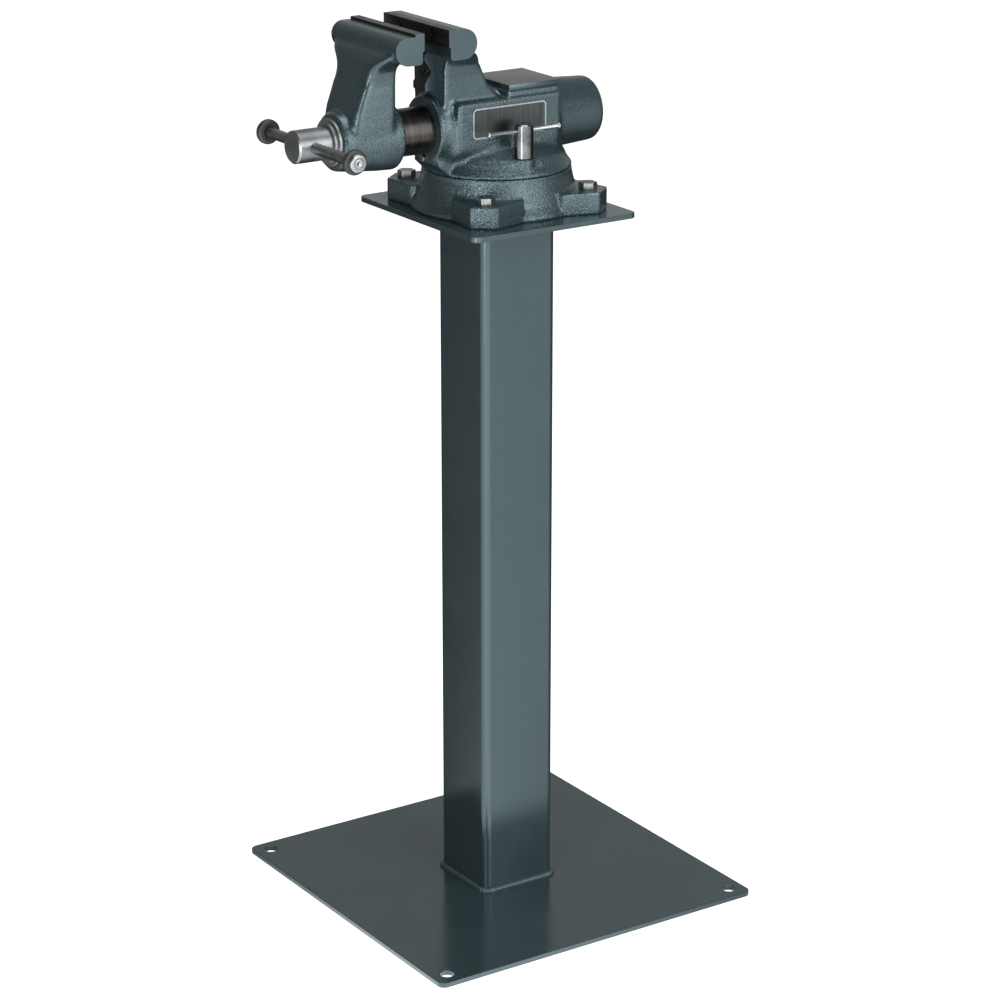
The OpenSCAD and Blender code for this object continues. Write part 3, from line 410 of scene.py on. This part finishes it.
def loft(stations, corner):  # a station is its height, front, back and half widths at the front and back
    bm = bmesh.new()
    bmesh.ops.create_circle(bm, cap_ends=True, radius=math.sqrt(0.5), segments=4)
    bmesh.ops.rotate(bm, matrix=Matrix.Rotation(math.pi / 4, 3, "Z"), verts=bm.verts)
    height, front, back, frontHalf, backHalf = stations[0]
    bmesh.ops.scale(bm, vec=(2 * backHalf, back - front, 1), verts=bm.verts)
    bmesh.ops.bevel(bm, geom=bm.verts[:], offset=corner, affect="VERTICES", segments=6, profile=0.5,
                    material=-1)
    bmesh.ops.scale(bm, vec=(0.5 / backHalf, 1 / (back - front), 1), verts=bm.verts)
    face = bm.faces[:][0]
    unit = [v.co.copy() for v in face.verts]
    for index, (height, front, back, frontHalf, backHalf) in enumerate(stations):
        if index:
            result = bmesh.ops.extrude_face_region(bm, geom=[face])
            face = next(f for f in result["geom"] if isinstance(f, bmesh.types.BMFace))
        for vert, place in zip(face.verts, unit):
            share = place.y + 0.5
            half = frontHalf + (backHalf - frontHalf) * share
            vert.co = (2 * half * place.x, front + (back - front) * share, height)
    bmesh.ops.recalc_face_normals(bm, faces=bm.faces)
    return bm


def joined(shells):
    bm = bmesh.new()
    for shell in shells:
        mesh = bpy.data.meshes.new("shell")
        shell.to_mesh(mesh)
        shell.free()
        bm.from_mesh(mesh)
        bpy.data.meshes.remove(mesh)
    return bm


def applyModifiers(obj):
    graph = bpy.context.evaluated_depsgraph_get()
    mesh = bpy.data.meshes.new_from_object(obj.evaluated_get(graph))
    old = obj.data
    obj.modifiers.clear()
    obj.data = mesh
    bpy.data.meshes.remove(old)


def cast(name, shells, voxel):
    obj = newObject(name, joined(shells))
    remesh = obj.modifiers.new("melt", "REMESH")
    remesh.mode = "VOXEL"
    remesh.voxel_size = voxel * mm
    applyModifiers(obj)
    return obj


def relax(obj, rounds, where=None):
    bm = bmesh.new()
    bm.from_mesh(obj.data)
    verts = [v for v in bm.verts if where is None or where(v.co / mm)]
    for _ in range(rounds):
        bmesh.ops.smooth_vert(bm, verts=verts, factor=0.5, use_axis_x=True, use_axis_y=True, use_axis_z=True)
    bm.to_mesh(obj.data)
    bm.free()


def carve(obj, shells, operation="DIFFERENCE"):
    group = bpy.data.collections.new("cutters")
    for shell in shells:
        cutter = newObject("cutter", shell)
        bpy.context.scene.collection.objects.unlink(cutter)
        group.objects.link(cutter)
    modifier = obj.modifiers.new("carve", "BOOLEAN")
    modifier.operation = operation
    modifier.solver = "EXACT"
    modifier.operand_type = "COLLECTION"
    modifier.collection = group
    applyModifiers(obj)
    for cutter in list(group.objects):
        mesh = cutter.data
        bpy.data.objects.remove(cutter)
        bpy.data.meshes.remove(mesh)
    bpy.data.collections.remove(group)


def shade(obj, angle=35):
    obj.data.polygons.foreach_set("use_smooth", [True] * len(obj.data.polygons))
    obj.data.set_sharp_from_angle(angle=math.radians(angle))


def settle(obj, node, *names):
    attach(obj, nodeBody[node])
    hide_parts(node)
    obj.data.materials.clear()
    for name in names or [slotPaint[nodeSlot[node]]]:
        obj.data.materials.append(paints[name])


def facesWhere(obj, index, test):
    for face in obj.data.polygons:
        if test(face.center / mm, face.normal):
            face.material_index = index


def softened(node, width, segments=2, names=()):  # a CAD piece with its edges broken
    bm = bmesh.new()
    bm.from_mesh(frame["nodes"][node].data)
    bmesh.ops.remove_doubles(bm, verts=bm.verts, dist=0.004 * mm)
    bmesh.ops.dissolve_limit(bm, angle_limit=math.radians(0.8), verts=bm.verts, edges=bm.edges)
    obj = newObject(node + "Finished", bm, 1)
    bevel = obj.modifiers.new("edges", "BEVEL")
    bevel.width = width * mm
    bevel.segments = segments
    bevel.limit_method = "ANGLE"
    bevel.angle_limit = math.radians(30)
    bevel.profile = 0.5
    applyModifiers(obj)
    shade(obj, 40)
    weigh = obj.modifiers.new("shading", "WEIGHTED_NORMAL")
    weigh.keep_sharp = True
    applyModifiers(obj)
    settle(obj, node, *names)
    return obj


def onAxis(y, x=0, up=0):
    return (x, y, axisZ + up)


def onJawEnd(c, n):
    return abs(n.x) > 0.95 and abs(abs(c.x) - jawEnd) < 0.1


for node, width in (("floor_plate", 0.9), ("mounting_plate", 0.9), ("post_tube", 0.3)):
    softened(node, width, 3)


def weldBead(name, node, z):
    bead = dict(half=50.8, corner=9.5, radius=4.6, pitch=3.4, sink=0.6, ripple=(1.06, 1.0, 0.93, 0.88))
    reach, centre = bead["corner"] + bead["sink"], bead["half"] - bead["corner"]
    straight = 2 * centre
    arc = math.pi / 2 * reach
    total = 4 * (straight + arc)
    steps = len(bead["ripple"])
    count = int(total / bead["pitch"]) * steps
    curve = bpy.data.curves.new(name, "CURVE")
    curve.dimensions = "3D"
    curve.bevel_depth = bead["radius"] * mm
    curve.bevel_resolution = 3
    spline = curve.splines.new("POLY")
    spline.points.add(count - 1)
    spline.use_cyclic_u = True
    for i, point in enumerate(spline.points):
        side, along = divmod(total * i / count, straight + arc)
        if along < straight:
            place = Vector((bead["half"] + bead["sink"], along - straight / 2, 0))
        else:
            turn = (along - straight) / arc * math.pi / 2
            place = Vector((centre + reach * math.cos(turn), centre + reach * math.sin(turn), 0))
        place.rotate(Matrix.Rotation(side * math.pi / 2, 3, "Z"))
        point.co = (place.x * mm, place.y * mm, z * mm, 1)
        point.radius = bead["ripple"][i % steps] * (1 + 0.03 * math.sin(i * 0.37))
    line = bpy.data.objects.new(name + "Line", curve)
    bpy.context.scene.collection.objects.link(line)
    bpy.context.view_layer.update()
    mesh = bpy.data.meshes.new_from_object(line.evaluated_get(bpy.context.evaluated_depsgraph_get()))
    bpy.data.objects.remove(line)
    obj = bpy.data.objects.new(name, mesh)
    bpy.context.scene.collection.objects.link(obj)
    shade(obj, 80)
    settle(obj, node, "weld")


weldBead("footWeld", "lower_weld", sheet + 0.6)
weldBead("headWeld", "upper_weld", plateTop - sheet - 0.6)
print("stand ready")


def buildBase():
    base = dict(foot=102, top=88, height=48, lip=5, lugHeight=26, reach=130, end=31, root=84,
                boltX=85, boltY=71, holeR=6.75, spotR=11.6, slotR=72.69, slotHalf=6.5, voxel=1.5)
    low, high = plateTop, plateTop + base["height"]
    spread = base["foot"] - base["top"]
    shells = [spun([(0, low), (base["foot"], low), (base["foot"], low + base["lip"]),
                    (base["top"] + spread * 0.6, low + 14.4), (base["top"] + spread * 0.22, low + 29.8),
                    (base["top"], low + 43), (base["top"], high), (0, high)])]
    shells.append(drum(30, high - 10, high + 10))
    near, far, root, end = base["foot"] * 0.9, base["reach"], base["root"] / 2, base["end"] / 2
    angle = math.atan2(base["boltY"], base["boltX"])
    for turn in (angle, math.pi - angle, math.pi + angle, -angle):
        lug = prism([(0, 0, low), (near, -root, low), (far, -end, low), (far, end, low), (near, root, low)],
                    (0, 0, base["lugHeight"]))
        bmesh.ops.rotate(lug, matrix=Matrix.Rotation(turn, 3, "Z"), verts=lug.verts)
        shells.append(lug)
    obj = cast("swivelBaseCasting", shells, base["voxel"])
    relax(obj, 2)
    relax(obj, 5, lambda p: 92 < math.hypot(p.x, p.y) < 103 and low + 22 < p.z < low + 32)
    inner, outer = base["slotR"] - base["slotHalf"], base["slotR"] + base["slotHalf"]
    cutters = [boxOf((-140, -140, low - 5), (140, 140, low + 0.02)),
               boxOf((-100, -100, high - 0.02 + 10), (100, 100, high + 20)),
               spun([(inner, high - 12), (inner, high + 3), (outer, high + 3), (outer, high - 12),
                     (inner, high - 12)])]
    places = [(x * base["boltX"], y * base["boltY"], 0) for x in (-1, 1) for y in (-1, 1)]
    for place in places:
        cutters.append(drum(base["holeR"], low - 1, low + 24, centre=place, steps=48))
        cutters.append(drum(base["spotR"], low + 26, high - 4, centre=place, steps=48))
    carve(obj, cutters)
    carve(obj, [drum(base["holeR"], low + 20, low + 30, centre=place, steps=48) for place in places])
    shade(obj)
    settle(obj, "swivel_base")


buildBase()
for node, width in (("base_bolts", 0.35), ("base_nuts", 0.5), ("base_washers", 0.3)):
    softened(node, width)
print("base ready")


def capShell(face, sign, drop=0):
    cap = dict(half=75, back=2.5, depth=38, radius=17.5, low=90.8, top=125.8, corner=4)
    half, front, back = cap["half"], face + sign * cap["back"], face + sign * cap["depth"]
    low, top = axisZ + cap["low"], axisZ + cap["top"] - drop
    return prism([(-half, front, low, cap["corner"]), (-half, back, low, cap["radius"]),
                  (-half, back, top, cap["radius"] - drop), (-half, front, top)], (2 * half, 0, 0), 12)


def jawCutters(ends, seat, pipe, screws):  # each from one y to another
    cut = dict(spare=30.3, capLow=84, seatLow=105.8, top=130, pipeHalf=13.05, pipeLow=46.4, pipeTop=90.6,
               screwR=4.1)
    cutters = []
    for side in (-1, 1):
        middle, spare = side * (jawEnd + cut["spare"] / 2), cut["spare"] / 2
        cutters.append(boxOf((middle - spare, ends[0], axisZ + cut["capLow"]),
                             (middle + spare, ends[1], axisZ + cut["top"])))
        cutters.append(drum(cut["screwR"], *screws, "Y", onAxis(0, side * screwX, insertUp), 32))
    cutters.append(boxOf((-90, seat[0], axisZ + cut["seatLow"]), (90, seat[1], axisZ + cut["top"])))
    cutters.append(boxOf((-cut["pipeHalf"], pipe[0], axisZ + cut["pipeLow"]),
                         (cut["pipeHalf"], pipe[1], axisZ + cut["pipeTop"])))
    return cutters


def buildBody():
    body = dict(front=-101, columnFront=-93, half=34, chinHalf=28, anvilTop=47.8, slideR=27.55, boreR=31,
                keyHalf=4.05, studR=6.4, spotR=9.5, voxel=1.6)
    front, half, chin = body["columnFront"], body["half"], body["chinHalf"]
    low, high = axisZ - 31, axisZ + 34
    # skirt, neck, side pads, front boss, barrel, chin, column, cap, anvil
    shells = [spun([(0, seam), (88, seam), (88, seam + 3), (82.4, seam + 10), (80, seam + 16),
                    (78.6, seam + 19.4), (75, seam + 21), (46, seam + 32), (0, seam + 32)])]
    shells.append(prism([(-40, -76, seam + 10, 14), (40, -76, seam + 10, 14), (40, 54, seam + 10, 14),
                         (-40, 54, seam + 10, 14)], (0, 0, 42.7)))
    shells.append(prism([(-46, -82, low, 14), (46, -82, low, 14), (46, -82, high, 1), (-46, -82, high, 1)],
                        (0, 142, 0)))
    shells.append(spun([(0, -101), (38, -101), (40, -99), (40, -90), (43, -82), (43, 60), (0, 60)],
                       "Y", onAxis(0)))
    shells.append(spun([(0, 40), (42, 40), (42, 60), (38.2, 122), (37.6, 125.4), (35.8, 127.4), (33.2, 128),
                        (0, 128)], "Y", onAxis(0)))
    shells.append(prism([(-chin, -97, axisZ - 30), (-chin, -97, axisZ - 40), (-chin, -86.5, seam + 3),
                         (-chin, 0, seam + 3), (-chin, 0, axisZ - 30)], (2 * chin, 0, 0)))
    shells.append(loft([(axisZ, front, -11.5, half, half), (axisZ + 27.8, front, -11.5, half, half),
                        (axisZ + 37.8, front, -19.5, half, half), (axisZ + 47.8, front, -31.5, half, half),
                        (axisZ + 64.8, front, -39.2, half, half),
                        (axisZ + 76, front - 0.5, -45, half + 1, half + 2),
                        (axisZ + 84, front - 1.5, -49, half + 5, half + 8),
                        (axisZ + 90, front - 3, -55, half + 13, half + 14),
                        (axisZ + 95, front - 5, -66, half + 24, half + 24)], 5))
    shells.append(capShell(fixedFace, 1))
    shells.append(boxOf((-43, -12, axisZ), (43, 60, axisZ + 41.8)))
    for side in (-1, 1):
        shells.append(drum(12.5, seam, seam + 21.5, centre=(side * lockX, lockY, 0), steps=32))
    obj = cast("viseBodyCasting", shells, body["voxel"])
    relax(obj, 2)
    # softer where the neck meets the skirt, beside the chin, behind the column and under the cap
    relax(obj, 14, lambda p: -100 < p.y < 56 and 64 < p.z - plateTop < 82 and abs(p.x) < 60)
    relax(obj, 22, lambda p: -92 < p.y < 66 and 66 < p.z - plateTop < 94 and 24 < abs(p.x) < 66)
    relax(obj, 10, lambda p: -99 < p.y < -78 and 62 < p.z - plateTop < 140 and 26 < abs(p.x) < 52)
    relax(obj, 14, lambda p: -60 < p.y < -13 and 126 < p.z - plateTop < 156 and abs(p.x) < 33)
    relax(obj, 14, lambda p: -97 < p.y < -45 and 170 < p.z - plateTop < 198 and abs(p.x) < 66)
    relax(obj, 8, lambda p: 52 < p.y < 72 and p.z - plateTop < 130)
    anvil = boxOf((-40, -9, axisZ + 41), (40, 63, axisZ + body["anvilTop"]))
    bmesh.ops.bevel(anvil, geom=anvil.edges[:], offset=0.8, affect="EDGES", segments=2, profile=0.5,
                    material=-1)
    carve(obj, [anvil], "UNION")
    cutters = [boxOf((-150, -150, seam - 20), (150, 150, seam)),
               boxOf((-100, -130, axisZ - 45), (100, body["front"], axisZ + 80)),
               spun([(0, -140), (body["slideR"], -140), (body["slideR"], 19), (body["boreR"], 19),
                     (body["boreR"], 108), (0, 108)], "Y", onAxis(0)),
               boxOf((-body["keyHalf"], -130, axisZ - 31.05), (body["keyHalf"], -61, axisZ))]
    cutters += jawCutters((-120, -60), (-125, -98), (-120, -91), (-100, -80))
    for side in (-1, 1):  # a name plate's seat, and a lock's hole with its spot face
        place = (side * lockX, lockY, 0)
        cutters.append(boxOf((side * 47.4 - 2, -63.05, axisZ - 8.75), (side * 47.4 + 2, 38.05, axisZ + 26.85)))
        cutters.append(drum(body["studR"], seam - 1, seam + 10, centre=place, steps=48))
        cutters.append(spun([(0, seam + 9), (body["studR"], seam + 9), (body["studR"], seam + 21.5),
                             (body["spotR"], seam + 21.5), (body["spotR"], seam + 40), (0, seam + 40)],
                            centre=place, steps=48))
    carve(obj, cutters)
    shade(obj)
    settle(obj, "body_casting", "cast", "anvilSteel", "capEnd")
    facesWhere(obj, 1, lambda c, n: n.z > 0.9 and abs(c.z - axisZ - body["anvilTop"]) < 0.3 and c.y > -12)
    facesWhere(obj, 2, onJawEnd)


buildBody()
print("body ready")


def buildJaw():
    jaw = dict(nose=-225, back=-159, inner=-147, slideR=27.6, headR=24.6, spindleR=14.1, voxel=1.5)
    nose, back, inner = jaw["nose"], jaw["back"], jaw["inner"]
    shells = [spun([(0, nose), (30, nose), (32, -224.3), (33.4, -222), (34.2, -218), (36.4, -200), (39.2, -170),
                    (40, -150), (37, inner), (0, inner)], "Y", onAxis(0))]
    shells.append(loft([(axisZ - 2, -216, back, 35, 39), (axisZ + 19, -215, back, 36, 40),
                        (axisZ + 37, -211, back, 36, 40), (axisZ + 50, -206, back, 36, 40),
                        (axisZ + 65, -200.5, back, 36, 40), (axisZ + 76, -196.5, back, 37, 40.5),
                        (axisZ + 83, -194.5, back, 41, 43), (axisZ + 89, -192.4, back, 48, 49),
                        (axisZ + 95, -189.6, back, 57, 57), (axisZ + 103, -184, back, 64, 64)], 9))
    shells.append(capShell(movingFace, -1, 3))
    obj = cast("movingJawCasting", shells, jaw["voxel"])
    relax(obj, 3)
    relax(obj, 30, lambda p: p.y < -166 and 165 < p.z - plateTop < 214 and abs(p.x) < 67)  # under the cap
    relax(obj, 14, lambda p: p.y < -150 and 96 < p.z - plateTop < 130)  # where the column leaves the nose
    cutters = [boxOf((-100, inner, axisZ - 60), (100, -130, axisZ + 60)),
               boxOf((-100, -240, axisZ - 60), (100, nose, axisZ + 60)),
               drum(jaw["slideR"], -195, -140, "Y", onAxis(0)),
               spun([(0, -231), (jaw["headR"], -231), (jaw["headR"], -211.8), (jaw["spindleR"], -211.8),
                     (jaw["spindleR"], -190), (0, -190)], "Y", onAxis(0))]
    cutters += jawCutters((-190, -130), (-154, -130), (-166, -140), (-172, -150))
    carve(obj, cutters)
    shade(obj)
    settle(obj, "moving_jaw_casting", "cast", "capEnd")
    facesWhere(obj, 1, onJawEnd)


buildJaw()
print("moving jaw ready")


def toothedInsert(name, node, face, sign):
    insert = dict(depth=12, height=20, pitch=1.996, tooth=0.35, headR=6.55, headDepth=7, shankR=4.05)
    bm = bmesh.new()
    across = round(2 * jawEnd / insert["pitch"])
    bmesh.ops.create_grid(bm, x_segments=across, y_segments=10, size=0.5)
    bmesh.ops.scale(bm, vec=(2 * jawEnd, insert["height"], 1), verts=bm.verts)
    peaks = bmesh.ops.poke(bm, faces=bm.faces[:])["verts"]
    bmesh.ops.translate(bm, vec=(0, 0, insert["tooth"]), verts=peaks)
    rim = [e for e in bm.edges if e.is_boundary]
    grown = bmesh.ops.extrude_edge_only(bm, edges=rim)["geom"]
    wall = [v for v in grown if isinstance(v, bmesh.types.BMVert)]
    bmesh.ops.translate(bm, vec=(0, 0, insert["tooth"] - insert["depth"]), verts=wall)
    bmesh.ops.holes_fill(bm, edges=[e for e in bm.edges if e.is_boundary], sides=0)
    bmesh.ops.rotate(bm, matrix=Matrix.Rotation(math.pi / 2, 3, "X"), verts=bm.verts)
    if sign < 0:
        bmesh.ops.scale(bm, vec=(1, -1, 1), verts=bm.verts)
    bmesh.ops.translate(bm, vec=(0, face + sign * insert["tooth"], axisZ + insertUp), verts=bm.verts)
    bmesh.ops.recalc_face_normals(bm, faces=bm.faces)
    obj = newObject(name, bm)
    cutters = []
    for side in (-1, 1):
        for radius, depth in ((insert["headR"], insert["headDepth"]), (insert["shankR"], 20)):
            low, high = sorted((face - sign * 5, face + sign * depth))
            cutters.append(drum(radius, low, high, "Y", onAxis(0, side * screwX, insertUp), 40))
    carve(obj, cutters)
    shade(obj, 20)
    settle(obj, node, "insertSteel", "capEnd")
    facesWhere(obj, 1, lambda c, n: abs(n.x) > 0.9 and abs(c.x) > 69)


toothedInsert("fixedJawPlate", "fixed_jaw_insert", fixedFace, 1)
toothedInsert("movingJawPlate", "moving_jaw_insert", movingFace, -1)
for node in ("fixed_pipe_jaw", "moving_pipe_jaw"):
    facesWhere(softened(node, 0.35, names=("insertSteel", "capEnd")), 1, lambda c, n: abs(n.x) > 0.9)
softened("handle_bar", 0.3, names=("rodSteel",))
for node, width in (("fixed_jaw_screws", 0.4), ("moving_jaw_screws", 0.4), ("fixed_pipe_jaw_screw", 0.3),
                    ("moving_pipe_jaw_screw", 0.3), ("slide_bar", 0.8), ("spindle_collar", 0.3),
                    ("spindle", 0.6), ("slide_key_screw", 0.5), ("right_lock_nut", 0.4), ("left_lock_nut", 0.4),
                    ("name_plate_pins", 0.25)):
    softened(node, width)
softened("handle_rings", 1.4, 4)


def handleCaps():
    caps = dict(y=-255, near=113, far=-99,
                face=[(0, 1.0), (1.1, 0.9), (1.7, 0.4), (4.5, 0), (5.1, 0.3), (5.4, 1.1), (6.2, 1.1),
                      (6.6, 0.4), (8.7, 0.3), (9.9, 0.8), (10.5, 1.8), (10.5, 6), (6.6, 6), (6.6, 2.4),
                      (0, 2.4)])
    shells = []
    for end, inward in ((caps["near"], -1), (caps["far"], 1)):
        profile = [(radius, end + inward * depth) for radius, depth in caps["face"]]
        shells.append(spun(profile, "X", onAxis(caps["y"]), 64))
    obj = newObject("handleCapsTurned", joined(shells))
    shade(obj, 40)
    settle(obj, "handle_end_caps", "capSteel")


handleCaps()
for node in ("right_name_plate", "left_name_plate"):
    facesWhere(softened(node, 0.25, names=("brushedPlate", "rimMetal")), 1,
               lambda c, n: abs(c.x) > 46.75 or abs(n.x) < 0.6)  # the raised rim


def lockBar(name, node, x):
    bar = dict(length=100, radius=2.5, upset=3.6, end=3.2, up=1.0)
    half, r, u, e = bar["length"] / 2, bar["radius"], bar["upset"], bar["end"]
    side = [(0, half), (u * 0.6, half), (u * 0.9, half - 0.4), (u, half - 1.1), (u, half - e + 1),
            (u * 0.92, half - e + 0.3), (r + 0.1, half - e - 0.3), (r, half - e - 0.6)]
    points = [(radius, -t) for radius, t in side] + [(radius, t) for radius, t in reversed(side)]
    obj = newObject(name, spun(points, "Y", onAxis(lockY, x, bar["up"]), 32))
    shade(obj, 60)
    settle(obj, node, "rimMetal")


lockBar("rightLockRod", "right_lock_bar", lockX)
lockBar("leftLockRod", "left_lock_bar", -lockX)
print("fittings ready")


def lookedAt(tree):  # 1 where the camera sees it, straight or through glass
    path = addNode(tree, "ShaderNodeLightPath")
    return path, mathNode(tree, "MAXIMUM", path.outputs["Is Camera Ray"], path.outputs["Is Transmission Ray"])


def buildFloor():
    ground = dict(reach=30.0, color=(0.5, 0.5, 0.5), seen=0.92, dullAndReflectionShade=(0.06, 0.06, 0.06),
                  toward=(0.77, -0.64, 0), glowFrom=-0.34, glow=2.9)
    bm = bmesh.new()
    bmesh.ops.create_grid(bm, x_segments=1, y_segments=1, size=ground["reach"])
    floor = newObject("paleFloor", bm, 1)
    material = bpy.data.materials.new("paleFloor")
    material.use_nodes = True
    tree = material.node_tree
    shader = tree.nodes["Principled BSDF"]
    shader.inputs["Roughness"].default_value = 0.7
    shader.inputs["Specular IOR Level"].default_value = 0.1
    shader.inputs["Emission Color"].default_value = (1, 1, 1, 1)
    # in reflections only, the floor is painted darker, and a painted glow toward the front stands in for a lamp
    # and lays painted highlights on the paint and steel
    path, seen = lookedAt(tree)
    glossy = path.outputs["Is Glossy Ray"]
    link(tree, mixColor(tree, glossy, ground["color"], ground["dullAndReflectionShade"]), shader.inputs["Base Color"])
    side = addNode(tree, "ShaderNodeVectorMath", operation="NORMALIZE")
    link(tree, addNode(tree, "ShaderNodeTexCoord").outputs["Object"], side.inputs[0])
    ahead = facing(tree, side.outputs[0], ground["toward"])
    paintedReflectionGlow = mapRange(tree, ahead, ground["glowFrom"], 1.0, 0.0, ground["glow"])
    strength = mathNode(tree, "ADD", mathNode(tree, "MULTIPLY", seen, ground["seen"]),
                        mathNode(tree, "MULTIPLY", glossy, paintedReflectionGlow))
    link(tree, strength, shader.inputs["Emission Strength"])
    floor.data.materials.append(material)


def buildWorld():
    sky = dict(zenith=0.28, horizon=0.58, darkSide=(-0.5, -0.87, 0), darkest=0.3)
    world = bpy.data.worlds.new("softRoom")
    bpy.context.scene.world = world
    world.use_nodes = True
    tree = world.node_tree
    tree.nodes.clear()
    direction = addNode(tree, "ShaderNodeTexCoord").outputs["Generated"]
    parts = addNode(tree, "ShaderNodeSeparateXYZ")
    link(tree, direction, parts.inputs[0])
    tone = mapRange(tree, parts.outputs["Z"], 0.0, 0.8, sky["horizon"], sky["zenith"])
    aside = mapRange(tree, facing(tree, direction, sky["darkSide"]), 0.3, 1.0, 1.0, sky["darkest"])
    path, seen = lookedAt(tree)
    back = addNode(tree, "ShaderNodeBackground")
    back.inputs["Color"].default_value = (1, 1, 1, 1)
    strength = mathNode(tree, "MAXIMUM", mathNode(tree, "MULTIPLY", tone, aside), seen)
    link(tree, strength, back.inputs["Strength"])
    out = addNode(tree, "ShaderNodeOutputWorld")
    link(tree, back.outputs[0], out.inputs[0])


def areaLight(name, place, aim, size, power, height=None):
    light = bpy.data.lights.new(name, "AREA")
    light.shape = "RECTANGLE"
    light.size = size
    light.size_y = height or size
    light.energy = power
    obj = bpy.data.objects.new(name, light)
    bpy.context.scene.collection.objects.link(obj)
    obj.location = place
    obj.rotation_euler = (Vector(aim) - Vector(place)).to_track_quat("-Z", "Y").to_euler()


def buildCamera():
    shot = dict(place=(3.0723387, -2.0389720, 1.7441126), forward=(-0.788656, 0.524667, -0.320540),
                lens=115.696)
    camera = bpy.data.cameras.new("photoView")
    camera.lens = shot["lens"]
    camera.sensor_width = 36
    camera.clip_end = 100
    obj = bpy.data.objects.new("photoView", camera)
    bpy.context.scene.collection.objects.link(obj)
    obj.location = shot["place"]
    obj.rotation_euler = Vector(shot["forward"]).to_track_quat("-Z", "Y").to_euler()
    bpy.context.scene.camera = obj


buildFloor()
buildWorld()
areaLight("keyPanel", (3.1, 0.5, 1.9), (0, 0, 0.75), 2.6, 108)
areaLight("stripPanel", (1.2, -2.07, 1.0), (0, 0, 0.75), 0.5, 27, 1.5)
areaLight("topPanel", (0.2, 0.0, 3.4), (0, 0, 0.6), 1.8, 45)
buildCamera()
bpy.context.scene.view_settings.view_transform = "Standard"
print("room ready")
